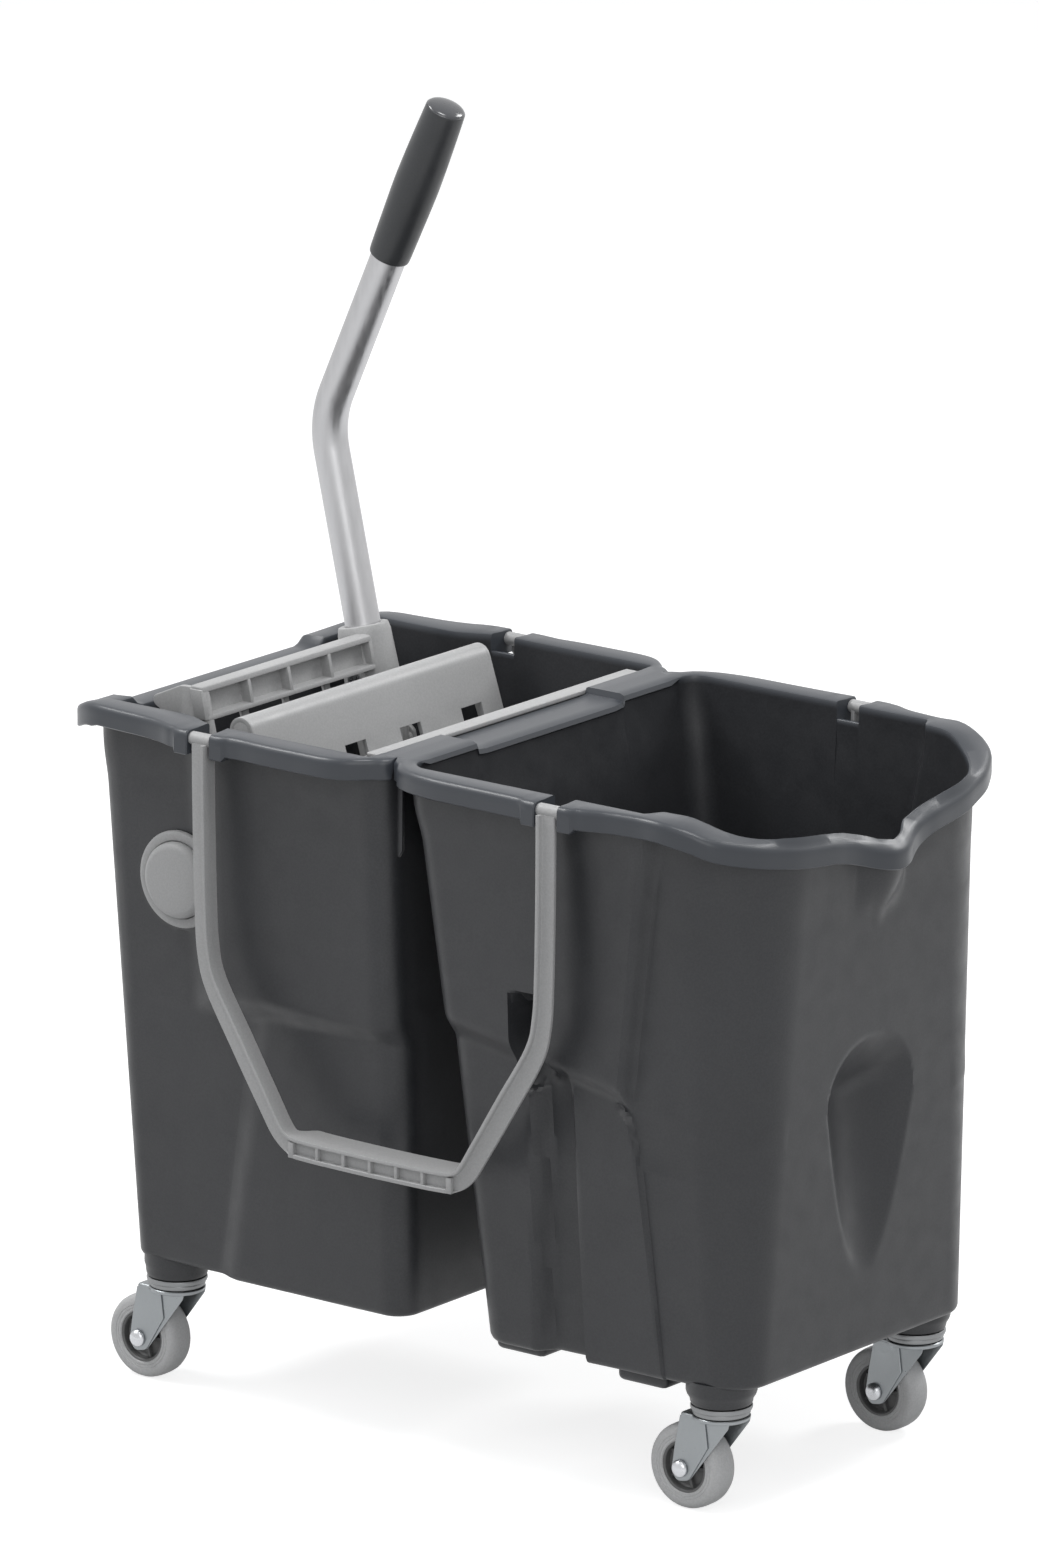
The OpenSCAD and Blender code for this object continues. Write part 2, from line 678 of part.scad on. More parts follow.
// One swing handle, hanging on the front side
outer_half = [[grip_half + 5.7, grip_z + 6], [grip_half + 18, grip_z + 14], [grip_half + 57, grip_z + 76],
    [handle_half - 3.5, grip_z + 120], [handle_half + arm_w / 2 - 2.5, grip_z + 147],
    [handle_half + arm_w / 2 - 0.7, grip_z + 217], [handle_half + arm_w / 2, pin_z]];
inner_half = [[grip_half + 2, grip_z + grip_h], [grip_half + 8, grip_z + grip_h + 6],
    [grip_half + 24, grip_z + 58], [grip_half + 49, grip_z + 95], [handle_half - 16.5, grip_z + 128],
    [handle_half - arm_w / 2 - 2, grip_z + 157], [handle_half - arm_w / 2 - 0.5, grip_z + 219],
    [handle_half - arm_w / 2, pin_z]];
function mirror_x(list) = [for (i = [len(list) - 1:-1:0]) [-list[i][0], list[i][1]]];
module handle_outer() {
    polygon(concat(mirror_x(outer_half), [[-grip_half + 10, grip_z], [grip_half - 10, grip_z]],
        outer_half));
}
module handle_hole(t) {
    offset(delta = t) polygon(concat(mirror_x(inner_half), inner_half,
        [[handle_half - arm_w / 2, pin_z + 40],
        [-handle_half + arm_w / 2, pin_z + 40]]));
}
module handle_band() {
    difference() {
        handle_outer();
        handle_hole(0);
    }
}
web_y = pin_y + 8.7 - web_d;
module handle() {
    color([0.53, 0.54, 0.54]) from_divider() translate([handle_x, 0, 0]) {
        along_y(web_y + 7, web_y + 7 + handle_t) handle_band();
        along_y(web_y, web_y + web_d) intersection() {
            handle_band();
            handle_hole(handle_t);
        }
        along_y(web_y + web_d - grip_d, web_y + web_d) intersection() {
            handle_band();
            handle_hole(handle_t + 1.2);
            translate([-grip_half - 6, grip_z]) square([2 * grip_half + 12, grip_h + 12]);
        }
        along_y(web_y, web_y + web_d) intersection() {
            handle_band();
            translate([-grip_half + 4, grip_z]) square([2 * grip_half - 8, handle_t]);
        }
        for (i = [0:grip_pockets])
            translate([(i - grip_pockets / 2) * (2 * grip_half - 14) / grip_pockets - handle_t / 2,
                web_y, grip_z + 1])
                cube([handle_t, web_d, grip_h - 3]);
        for (s = [-1, 1])
            translate([s * handle_half, pin_y, pin_z]) {
                translate([-pin_len / 2, 0, 0]) rotate([0, 90, 0]) cylinder(h = pin_len, r = pin_r);
                rotate([0, 90, 0]) translate([0, 0, -arm_w / 2]) cylinder(h = arm_w, r = pin_r + 2);
            }
    }
}
module front_handle() {
    mirror([0, 1, 0]) handle();
}
module rear_handle() {
    handle();
}

// Outlines of the press frame in X and Z; the face leans forward as it goes down
function face_x(z) = frame_face_x + frame_lean * (frame_top_z - z);
module frame_slab(z0, z1, d0, d1) {
    along_y(-frame_half, frame_half)
        polygon([[face_x(z0) - d0, z0], [face_x(z1) - d0, z1], [face_x(z1) - d1, z1],
            [face_x(z0) - d1, z0]]);
}
cell_walls = [1 - frame_half, -59.8, -14.7, 31.8, lever_y - 13.5];
slot_w = 34;
module press_frame() {
    low_z = pivot_z - cheek_r;
    color([0.68, 0.68, 0.68]) from_divider() difference() {
        union() {
            frame_slab(frame_top_z - 5.3, frame_top_z, 0, cell_d);
            frame_slab(frame_top_z - 25, frame_top_z - 20.5, 0, cell_d);
            frame_slab(frame_top_z - 26, frame_top_z, cell_d - panel_t + 1, cell_d);
            for (y = cell_walls)
                intersection() {
                    frame_slab(frame_top_z - 24, frame_top_z, 0, cell_d);
                    translate([-400, y - 3, 0]) cube([400, 6, 600]);
                }
            frame_slab(low_z, frame_top_z - 24, cell_d - panel_t, cell_d);
            both_sides() along_y(frame_half - 4, frame_half)
                polygon(concat([[face_x(low_z), low_z], [face_x(frame_top_z), frame_top_z],
                    [face_x(frame_top_z) - 20, frame_top_z - 1],
                    [face_x(frame_top_z) - 46, frame_top_z - 12],
                    [face_x(frame_top_z) - 46, frame_top_z - 18],
                    [face_x(frame_top_z) - 20, frame_top_z - 32],
                    [pivot_x - 18, pivot_z + 30]], arc(pivot_x, pivot_z, cheek_r, 180, 290, 6)));
            both_sides() at_pivot() translate([0, 0, frame_half - 10]) cylinder(h = 16, r = 14);
            lever_axis() cylinder(h = socket_len, r = socket_r);
        }
        both_sides() at_pivot() translate([0, 0, frame_half - 20]) cylinder(h = 60, r = pivot_r + run_gap);
        lever_axis() translate([0, 0, tube_start]) cylinder(h = socket_len, r = tube_r);
        lever_axis() screw_line() cylinder(h = 4 * socket_r, r = screw_r, center = true);
        for (i = [0:len(cell_walls) - 2])
            translate([-400, (cell_walls[i] + cell_walls[i + 1]) / 2 - slot_w / 2, frame_top_z - 34])
                cube([400, slot_w, 6]);
    }
}
// The lever's lower axis, from the wringer's pivot upward
module lever_axis() {
    translate([pivot_x, lever_y, pivot_z]) rotate([0, -lever_lean, 0]) children();
}
// The lever's upper axis, from the corner of the bend upward
module lever_upper_axis() {
    lever_axis() translate([0, 0, lever_corner]) rotate([0, lever_bend, 0]) children();
}
bend_cut = bend_r * tan(lever_bend / 2);
tube_start = 54;
// The screw's own axis across the socket, seen from the lever's axis
module screw_line() {
    translate([0, 0, screw_up]) rotate([90, 0, 0]) children();
}
module tube_section() {
    difference() {
        circle(r = tube_r);
        circle(r = tube_r - tube_wall);
    }
}
module lever_tube() {
    color([0.85, 0.86, 0.87]) from_divider() difference() {
        union() {
            lever_axis() translate([0, 0, tube_start])
                linear_extrude(lever_corner - bend_cut - tube_start) tube_section();
            lever_axis() translate([bend_r, 0, lever_corner - bend_cut]) mirror([1, 0, 0])
                rotate([90, 0, 0])
                rotate_extrude(angle = lever_bend) translate([bend_r, 0]) tube_section();
            lever_upper_axis() translate([0, 0, bend_cut])
                linear_extrude(lever_tip - 20 - bend_cut) tube_section();
        }
        lever_axis() screw_line() cylinder(h = 4 * socket_r, r = screw_r, center = true);
    }
}
module lever_grip() {
    end = lever_tip;
    color([0.24, 0.24, 0.25]) from_divider() lever_upper_axis() difference() {
        rotate_extrude()
            polygon([[0, lever_upper], [tube_r + 1.6, lever_upper], [tube_r + 2.4, lever_upper + 2],
                [rubber_r - 0.8, lever_upper + 30], [rubber_r, lever_upper + 65],
                [rubber_r - 0.6, lever_upper + 95],
                [rubber_r - 1.6, end - 12], [rubber_r - 2.4, end - 8], [rubber_r - 6, end - 3.2],
                [rubber_r - 11, end - 0.8],
                [0, end]]);
        translate([0, 0, lever_upper - over]) cylinder(h = rubber_len - 20 + over, r = tube_r);
    }
}
module lever_screw() {
    color([0.75, 0.75, 0.75]) from_divider() lever_axis() screw_line() {
        translate([0, 0, -socket_r]) cylinder(h = 2 * socket_r, r = screw_r);
        translate([0, 0, socket_r]) cylinder(h = 3, r = 2 * screw_r);
    }
}

drain_y = [-drain_outer_y, -drain_inner_y, drain_inner_y, drain_outer_y];
// The press plate, hinged at its foot; its front face leans forward as it goes down
plate_lean = (foot_x + 1.5 - plate_face_x) / (plate_top_z - 9 - foot_z);
function plate_x(z) = plate_face_x + plate_lean * (plate_top_z - 9 - z);
module press_plate() {
    roll_x = plate_face_x - plate_roll_r;
    roll_z = plate_top_z - plate_roll_r;
    color([0.68, 0.68, 0.68]) from_divider() difference() {
        union() {
            along_y(-plate_half, plate_half)
                polygon([[plate_x(roll_z), roll_z], [plate_x(foot_z), foot_z],
                    [plate_x(foot_z) - panel_t, foot_z],
                    [plate_x(roll_z) - panel_t, roll_z]]);
            along_y(-plate_half, plate_half) difference() {
                translate([roll_x, roll_z]) circle(r = plate_roll_r);
                translate([roll_x, roll_z]) circle(r = plate_roll_r - panel_t);
                translate([roll_x - 40, roll_z - 40]) square([40 + plate_roll_r - panel_t, 40]);
            }
            along_y(-plate_half, plate_half)
                polygon([[roll_x - plate_roll_r, roll_z], [roll_x - plate_roll_r + panel_t, roll_z],
                    [roll_x - plate_roll_r + panel_t + 4, roll_z - 16],
                    [roll_x - plate_roll_r + 4, roll_z - 16]]);
            both_sides() along_y(plate_half - panel_t, plate_half)
                polygon([[plate_x(roll_z) - 1, roll_z], [plate_x(foot_z) - 1, foot_z],
                    [plate_x(foot_z) - 10, foot_z],
                    [roll_x - plate_roll_r + 1, roll_z - 16], [roll_x - plate_roll_r + 1, roll_z]]);
            translate([foot_x, plate_half, foot_z]) rotate([90, 0, 0])
                cylinder(h = 2 * plate_half, r = foot_barrel_r);
        }
        for (row = [0:drain_rows - 1], y = drain_y)
            translate([foot_x - 120, y - drain_w / 2, plate_top_z - 48 - row * drain_pitch_z])
                cube([120, drain_w, drain_h]);
        translate([foot_x, plate_half + over, foot_z]) rotate([90, 0, 0])
            cylinder(h = 2 * plate_half + 2 * over, r = foot_pin_r + run_gap);
    }
}
module press_plate_pin() {
    color([0.7, 0.7, 0.72]) from_divider() translate([foot_x, sieve_half, foot_z]) rotate([90, 0, 0])
        cylinder(h = 2 * sieve_half, r = foot_pin_r);
}

// The fixed sieve: a strip on the dividing wall, a sloping panel, a floor and two cheeks for the foot pin
module fixed_sieve() {
    x_top = -divider_half - strip_w + 2;
    x_low = foot_x + 30;
    floor_z = foot_z - foot_barrel_r - 4;
    left_x = foot_x - 14;
    color([0.68, 0.68, 0.68]) from_divider() difference() {
        union() {
            along_y(-sieve_half - 8, sieve_half + 8)
                polygon([[x_top - panel_t, strip_z - panel_t], [-divider_half, strip_z - panel_t],
                    [-divider_half, strip_z],
                    [x_top - panel_t, strip_z]]);
            along_y(-sieve_half, sieve_half)
                polygon([[x_top - panel_t, strip_z - 1], [x_top, strip_z - 1], [x_low + panel_t, floor_z],
                    [left_x, floor_z], [left_x, floor_z - panel_t + 7.2], [x_low, floor_z + panel_t]]);
            both_sides() along_y(sieve_half - 4.4, sieve_half)
                polygon([[left_x, floor_z], [x_low, floor_z], [x_low + 8, floor_z + 110],
                    [x_low, floor_z + 120],
                    [left_x, floor_z + 34]]);
        }
        for (row = [0:drain_rows], y = drain_y)
            translate([foot_x + 10, y - drain_w / 2, plate_top_z - 48 - row * drain_pitch_z])
                cube([60, drain_w, drain_h]);
        translate([foot_x, sieve_half + over, foot_z]) rotate([90, 0, 0])
            cylinder(h = 2 * sieve_half + 2 * over, r = foot_pin_r);
    }
}

// Pivot axles with their cover plates and caps
module pivot_axle() {
    start_y = frame_half - 12;
    color([0.7, 0.7, 0.72]) from_divider() at_pivot()
        translate([0, 0, start_y]) cylinder(h = seat_y + ring_t - start_y, r = pivot_r);
}
module pivot_ring() {
    color([0.53, 0.54, 0.54]) from_divider() at_pivot() translate([0, 0, seat_y]) difference() {
        cylinder(h = ring_t, r1 = ring_r, r2 = ring_r - 2);
        translate([0, 0, -over]) cylinder(h = ring_t + 2 * over, r = pivot_r);
    }
}
module pivot_cap() {
    color([0.53, 0.54, 0.54]) from_divider() at_pivot() translate([0, 0, seat_y + ring_t])
        rotate_extrude()
            polygon([[0, 0], [cap_r, 0], [cap_r, cap_h * 0.4], [cap_r - 2, cap_h * 0.75],
                [cap_r - 6, cap_h * 0.95], [cap_r * 0.5, cap_h], [0, cap_h]]);
}
module front_pivot_axle() {
    mirror([0, 1, 0]) pivot_axle();
}
module front_pivot_ring() {
    mirror([0, 1, 0]) pivot_ring();
}
module front_pivot_cap() {
    mirror([0, 1, 0]) pivot_cap();
}
module rear_pivot_axle() {
    pivot_axle();
}
module rear_pivot_ring() {
    pivot_ring();
}
module rear_pivot_cap() {
    pivot_cap();
}

// Parts of a caster, drawn at its swivel axis
fork_inner = tyre_w / 2 + 1.3;
module kingpin() {
    color([0.65, 0.66, 0.68]) {
        translate([0, 0, fork_z - fork_t - face_gap])
            cylinder(h = base_z - 2 - fork_z + fork_t + face_gap, r = kingpin_r);
        translate([0, 0, fork_z - fork_t - face_gap - 3]) cylinder(h = 3, r = kingpin_r + 4);
    }
}
module raceway() {
    color([0.62, 0.63, 0.65]) difference() {
        union() {
            translate([0, 0, stack_z + race_h / 2]) cylinder(h = race_h / 2, r = race_r + 0.3);
            translate([0, 0, stack_z]) cylinder(h = race_h / 2, r = race_r - 0.8);
        }
        translate([0, 0, stack_z - over]) cylinder(h = race_h + 2 * over, r = kingpin_r);
    }
}
module fork() {
    color([0.62, 0.65, 0.67]) difference() {
        union() {
            translate([0, 0, fork_z - fork_t]) cylinder(h = fork_t, r = race_r - 1);
            translate([-24, -fork_inner - fork_t, fork_z - fork_t])
                cube([44, 2 * fork_inner + 2 * fork_t, fork_t]);
            both_sides() along_y(fork_inner, fork_inner + fork_t) union() {
                polygon([[-24, fork_z], [20, fork_z], [17, fork_z - 9], [-trail + 9, wheel_r - 4],
                    [-trail - 9, wheel_r - 2],
                    [-trail - 7, fork_z - 14]]);
                translate([-trail, wheel_r]) circle(r = 9);
            }
        }
        translate([0, 0, fork_z - fork_t - over]) cylinder(h = fork_t + 2 * over, r = kingpin_r + run_gap);
        translate([-trail, 40, wheel_r]) rotate([90, 0, 0]) cylinder(h = 80, r = axle_r);
    }
}
module axle_bolt() {
    color([0.75, 0.76, 0.78]) translate([-trail, fork_inner + fork_t, wheel_r]) rotate([90, 0, 0]) {
        translate([0, 0, -5]) cylinder(h = 2 * (fork_inner + fork_t) + 5, r = axle_r);
        translate([0, 0, 2 * (fork_inner + fork_t)]) rotate_extrude()
            polygon([[0, 0], [6.5, 0], [6.3, 2], [4.8, 3.8], [2.6, 4.7], [0, 5]]);
    }
}
module axle_nut() {
    color([0.75, 0.76, 0.78]) translate([-trail, fork_inner + fork_t, wheel_r])
        rotate([-90, 0, 0]) difference() {
        cylinder(h = 5, r = 7, $fn = 6);
        translate([0, 0, -over]) cylinder(h = 5 + 2 * over, r = axle_r);
    }
}
module hub() {
    half = fork_inner - face_gap;
    rim_w = tyre_w / 2 - 1;
    color([0.5, 0.5, 0.5]) translate([-trail, 0, wheel_r]) rotate([90, 0, 0]) rotate_extrude()
        polygon([[axle_r + run_gap, -half], [8, -half], [8, -4], [hub_r - 3, -4], [hub_r - 3, -rim_w],
            [hub_r, -rim_w],
            [hub_r, rim_w], [hub_r - 3, rim_w], [hub_r - 3, 4], [8, 4], [8, half],
            [axle_r + run_gap, half]]);
}
module tyre() {
    half = tyre_w / 2;
    color([0.56, 0.56, 0.56]) translate([-trail, 0, wheel_r]) rotate([90, 0, 0]) rotate_extrude()
        polygon([[hub_r, -half], [wheel_r - 5, -half], [wheel_r - 1.8, -half + 1.6],
            [wheel_r - 0.2, -half + 5],
            [wheel_r, -half + 8], [wheel_r, half - 8], [wheel_r - 0.2, half - 5],
            [wheel_r - 1.8, half - 1.6],
            [wheel_r - 5, half], [hub_r, half]]);
}
module at_caster(sx, sy) {
    from_divider() translate([sx > 0 ? caster_right_x : -caster_left_x, sy * caster_y, 0]) children();
}
CASTERS = [["front_left", -1, -1], ["rear_left", -1, 1], ["front_right", 1, -1], ["rear_right", 1, 1]];

twin_tub();
front_handle();
rear_handle();
press_frame();
lever_tube();
lever_grip();
lever_screw();
press_plate();
press_plate_pin();
fixed_sieve();
front_pivot_axle();
front_pivot_ring();
front_pivot_cap();
rear_pivot_axle();
rear_pivot_ring();
rear_pivot_cap();
for (c = CASTERS) at_caster(c[1], c[2]) {
    kingpin();
    raceway();
    fork();
    axle_bolt();
    axle_nut();
    hub();
    tyre();
}
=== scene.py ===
# Cleaning trolley: twin pail, lever wringer, two swing handles and four swivel casters.
# Shapes are drawn in millimetres from the dividing wall and scaled to metres at the end.
import math
import bpy
import bmesh
from mathutils import Matrix, Vector


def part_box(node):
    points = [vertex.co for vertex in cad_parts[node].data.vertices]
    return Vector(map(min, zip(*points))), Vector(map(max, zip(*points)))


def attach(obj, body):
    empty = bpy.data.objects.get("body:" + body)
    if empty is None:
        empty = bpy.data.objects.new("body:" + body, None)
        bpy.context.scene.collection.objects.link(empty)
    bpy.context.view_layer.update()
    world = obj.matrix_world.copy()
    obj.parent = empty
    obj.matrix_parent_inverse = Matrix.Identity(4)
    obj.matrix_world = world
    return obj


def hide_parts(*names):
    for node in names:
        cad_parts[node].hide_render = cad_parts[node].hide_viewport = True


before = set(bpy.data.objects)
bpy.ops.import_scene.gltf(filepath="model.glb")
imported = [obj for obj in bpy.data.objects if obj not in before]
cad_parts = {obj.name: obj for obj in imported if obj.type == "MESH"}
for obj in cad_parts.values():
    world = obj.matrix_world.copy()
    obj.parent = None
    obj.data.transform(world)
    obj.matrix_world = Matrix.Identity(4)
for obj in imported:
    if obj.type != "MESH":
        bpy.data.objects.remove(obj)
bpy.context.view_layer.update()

millimetre = 0.001
spoutReach = 331
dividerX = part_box("twin_tub")[1][0] / millimetre - spoutReach


# Small helpers for shapes

def ease(low, high, x):
    t = min(max((x - low) / (high - low), 0), 1)
    return t * t * (3 - 2 * t)


def mix(a, b, t):
    return a + (b - a) * t


def softMax(a, b, r):
    h = max(r - abs(a - b), 0) / r
    return max(a, b) + h * h * r / 4


def softMin(a, b, r):
    return -softMax(-a, -b, r)


def follow(points, x):  # value at x on a line through (x, value) points
    if x <= points[0][0]:
        return points[0][1]
    for (x0, y0), (x1, y1) in zip(points, points[1:]):
        if x <= x1:
            return mix(y0, y1, (x - x0) / (x1 - x0))
    return points[-1][1]


def smoothLine(points, steps):  # a curve through the points
    vectors = [Vector(p) for p in points]
    out = []
    for i in range(len(vectors) - 1):
        p1, p2 = vectors[i], vectors[i + 1]
        p0 = vectors[i - 1] if i > 0 else p1 + (p1 - p2)
        p3 = vectors[i + 2] if i + 2 < len(vectors) else p2 + (p2 - p1)
        for k in range(steps):
            t = k / steps
            out.append(0.5 * (2 * p1 + (p2 - p0) * t + (2 * p0 - 5 * p1 + 4 * p2 - p3) * t * t
                              + (3 * p1 - p0 - 3 * p2 + p3) * t ** 3))
    out.append(vectors[-1])
    return out


def gridSurface(bm, columns, rows, place, layer=None, markRow=None):
    grid = bmesh.ops.create_grid(bm, x_segments=columns, y_segments=rows, size=0.5)["verts"]
    for vert in grid:
        column = round((vert.co.x + 0.5) * columns)
        row = round((vert.co.y + 0.5) * rows)
        vert.co = place(column, row)
        if layer:
            vert[layer] = markRow(row)


def made(bm, old):
    return [v for v in bm.verts if v not in old]


def soften(bm, verts, offset, segments=2, above=40):  # rounds the edges sharper than an angle
    own = set(verts)
    edges = [e for e in bm.edges if len(e.link_faces) == 2 and own.issuperset(e.verts)]
    sharp = [e for e in edges if e.calc_face_angle(0) > math.radians(above)]
    bmesh.ops.bevel(bm, geom=sharp, offset=offset, segments=segments, profile=0.5, affect="EDGES",
                    clamp_overlap=True, material=-1)


def revolve(bm, profile, place=Matrix(), steps=48):  # (radius, height) points turned round the local Z
    old = set(bm.verts)
    line = [bm.verts.new((radius, 0, height)) for radius, height in profile]
    edges = [bm.edges.new(pair) for pair in zip(line, line[1:])]
    bmesh.ops.spin(bm, geom=line + edges, cent=(0, 0, 0), axis=(0, 0, 1), dvec=(0, 0, 0), angle=2 * math.pi,
                   steps=steps, use_merge=True, use_duplicate=False)
    bmesh.ops.remove_doubles(bm, verts=made(bm, old), dist=0.005)
    bmesh.ops.transform(bm, matrix=place, verts=made(bm, old))


def block(bm, low, high, radius=0.6, segments=2, place=Matrix()):
    old = set(bm.verts)
    bmesh.ops.create_cube(bm, size=1)
    corners = made(bm, old)
    size = [h - l for l, h in zip(low, high)]
    middle = [(h + l) / 2 for l, h in zip(low, high)]
    bmesh.ops.scale(bm, vec=size, verts=corners)
    bmesh.ops.translate(bm, vec=middle, verts=corners)
    bmesh.ops.transform(bm, matrix=place, verts=corners)
    soften(bm, corners, radius, segments)


def slab(bm, outline, low, high, place, radius=0.5, segments=2):  # a plate cut to an outline
    old = set(bm.verts)
    face = bm.faces.new([bm.verts.new((x, y, low)) for x, y in outline])
    drawn = bmesh.ops.extrude_face_region(bm, geom=[face])["geom"]
    top = [g for g in drawn if isinstance(g, bmesh.types.BMVert)]
    bmesh.ops.translate(bm, vec=(0, 0, high - low), verts=top)
    whole = made(bm, old)
    bmesh.ops.transform(bm, matrix=place, verts=whole)
    soften(bm, whole, radius, segments)


def rounded(corners, steps=5):  # closed outline of (x, y, radius) corners
    out = []
    for i, (x, y, radius) in enumerate(corners):
        here = Vector((x, y))
        if radius <= 0:
            out.append(here)
            continue
        back = Vector(corners[i - 1][:2]) - here
        ahead = Vector(corners[(i + 1) % len(corners)][:2]) - here
        cut = min(radius / math.tan(back.angle(ahead) / 2), back.length * 0.49, ahead.length * 0.49)
        a = here + back.normalized() * cut
        b = here + ahead.normalized() * cut
        for k in range(steps + 1):
            t = k / steps
            out.append(a * (1 - t) ** 2 + here * 2 * t * (1 - t) + b * t * t)
    return out


def sweep(bm, rings):  # joins closed rings of points along a bar
    count = len(rings[0])
    gridSurface(bm, count, len(rings) - 1, lambda column, row: rings[row][column % count])


standing = Matrix(((1, 0, 0, 0), (0, 0, 1, 0), (0, 1, 0, 0), (0, 0, 0, 1)))  # outline in X and Z, along Y
weldGap = 0.02


def facing(x, y, z, side):  # local Z points along Y, to the front for side -1 and to the back for side 1
    return Matrix.Translation((x, y, z)) @ Matrix.Rotation(math.radians(-90 * side), 4, "X")


def spanAt(side, near, far):  # a span on the front for side -1 or on the back for side 1, low end first
    return sorted((side * near, side * far))


def pinProfile(r, length, chamfer):
    half = length / 2
    return [(0, -half), (r - chamfer, -half), (r, -half + chamfer), (r, half - chamfer), (r - chamfer, half),
            (0, half)]


def bushProfile(bore, r, length, chamfer):
    return [(bore, 0), (r - chamfer, 0), (r, chamfer), (r, length - chamfer), (r - chamfer, length),
            (bore, length), (bore, 0)]


def finishPiece(bm, name, body, slot, replaced=(), finish=None, smoothAngle=32):
    bmesh.ops.remove_doubles(bm, verts=bm.verts, dist=weldGap)
    bmesh.ops.dissolve_degenerate(bm, edges=bm.edges, dist=weldGap * 0.2)
    bmesh.ops.recalc_face_normals(bm, faces=bm.faces)
    bmesh.ops.translate(bm, vec=(dividerX, 0, 0), verts=bm.verts)
    bmesh.ops.scale(bm, vec=(millimetre, millimetre, millimetre), verts=bm.verts)
    mesh = bpy.data.meshes.new(name)
    bm.to_mesh(mesh)
    bm.free()
    for polygon in mesh.polygons:
        polygon.use_smooth = True
    mesh.set_sharp_from_angle(angle=math.radians(smoothAngle))
    piece = bpy.data.objects.new(name, mesh)
    bpy.context.scene.collection.objects.link(piece)
    mesh.materials.append(materials[finish or slot])
    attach(piece, body)
    if replaced:
        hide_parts(*replaced)
    print(name, len(mesh.polygons), "faces")


# Materials

def newMaterial(name, colour, roughness, metallic=0.0, coat=0.0, specular=0.5):
    material = bpy.data.materials.new(name)
    material.use_nodes = True
    shader = material.node_tree.nodes["Principled BSDF"]
    shader.inputs["Base Color"].default_value = (*colour, 1)
    shader.inputs["Roughness"].default_value = roughness
    shader.inputs["Metallic"].default_value = metallic
    shader.inputs["Coat Weight"].default_value = coat
    shader.inputs["Coat Roughness"].default_value = 0.25
    shader.inputs["Specular IOR Level"].default_value = specular
    return material, material.node_tree, shader


def objectNoise(tree, scale, detail=4, stretch=(1, 1, 1)):
    place = tree.nodes.new("ShaderNodeTexCoord")
    mapping = tree.nodes.new("ShaderNodeMapping")
    mapping.inputs["Scale"].default_value = stretch
    noise = tree.nodes.new("ShaderNodeTexNoise")
    noise.inputs["Scale"].default_value = scale
    noise.inputs["Detail"].default_value = detail
    tree.links.new(place.outputs["Object"], mapping.inputs["Vector"])
    tree.links.new(mapping.outputs["Vector"], noise.inputs["Vector"])
    return noise.outputs["Fac"]


def ramp(tree, source, stops):
    node = tree.nodes.new("ShaderNodeValToRGB")
    elements = node.color_ramp.elements
    for element, (place, colour) in zip(elements, stops):
        element.position = place
        element.color = (*colour, 1)
    tree.links.new(source, node.inputs["Fac"])
    return node.outputs["Color"]


def addBump(tree, shader, source, strength, distance):
    bump = tree.nodes.new("ShaderNodeBump")
    bump.inputs["Strength"].default_value = strength
    bump.inputs["Distance"].default_value = distance
    tree.links.new(source, bump.inputs["Height"])
    tree.links.new(bump.outputs["Normal"], shader.inputs["Normal"])


def multiply(tree, first, second):
    node = tree.nodes.new("ShaderNodeMix")
    node.data_type = "RGBA"
    node.blend_type = "MULTIPLY"
    node.inputs["Factor"].default_value = 1
    tree.links.new(first, node.inputs["A"])
    tree.links.new(second, node.inputs["B"])
    return node.outputs["Result"]


plasticTexture = {  # noise scales, and the depth of the finest grain in metres
    "cloudScale": 9, "speckleScale": 700, "wearScale": 60, "grainScale": 1500, "grainDepth": 0.00012,
}


def mouldedPlastic(name, colour, roughness, grain=0.25, spread=0.08, coat=0.0, specular=0.5, speckle=0.05):
    material, tree, shader = newMaterial(name, colour, roughness, coat=coat, specular=specular)
    cloud = objectNoise(tree, plasticTexture["cloudScale"], 5)
    darker = tuple(c * (1 - spread) for c in colour)
    lighter = tuple(c * (1 + spread) for c in colour)
    wide = ramp(tree, cloud, [(0.3, darker), (0.7, lighter)])
    spots = objectNoise(tree, plasticTexture["speckleScale"], 2)
    grains = ramp(tree, spots, [(0.35, (1 - speckle,) * 3), (0.65, (1 + speckle,) * 3)])
    tree.links.new(multiply(tree, wide, grains), shader.inputs["Base Color"])
    wear = objectNoise(tree, plasticTexture["wearScale"], 3)
    low, high = roughness - 0.05, roughness + 0.06
    tree.links.new(ramp(tree, wear, [(0.3, (low,) * 3), (0.7, (high,) * 3)]), shader.inputs["Roughness"])
    fine = objectNoise(tree, plasticTexture["grainScale"], 2)
    addBump(tree, shader, fine, grain, plasticTexture["grainDepth"])
    return material


def blendByMark(tree, shader, socket, mark, colour):  # another colour or level where the mesh carries a mark
    old = shader.inputs[socket].links[0].from_socket
    where = tree.nodes.new("ShaderNodeAttribute")
    where.attribute_name = mark
    node = tree.nodes.new("ShaderNodeMix")
    node.data_type = "RGBA"
    tree.links.new(where.outputs["Fac"], node.inputs["Factor"])
    tree.links.new(old, node.inputs["A"])
    node.inputs["B"].default_value = (*colour, 1)
    tree.links.new(node.outputs["Result"], shader.inputs[socket])


# painted light: the rim colour is lighter and bluer than the wall colour, standing in for bluish light from
# above on the rim
tubFinishAndPaintedRimLight = {"wall": (0.028, 0.029, 0.032), "rim": (0.046, 0.051, 0.060), "rimRoughness": 0.34}


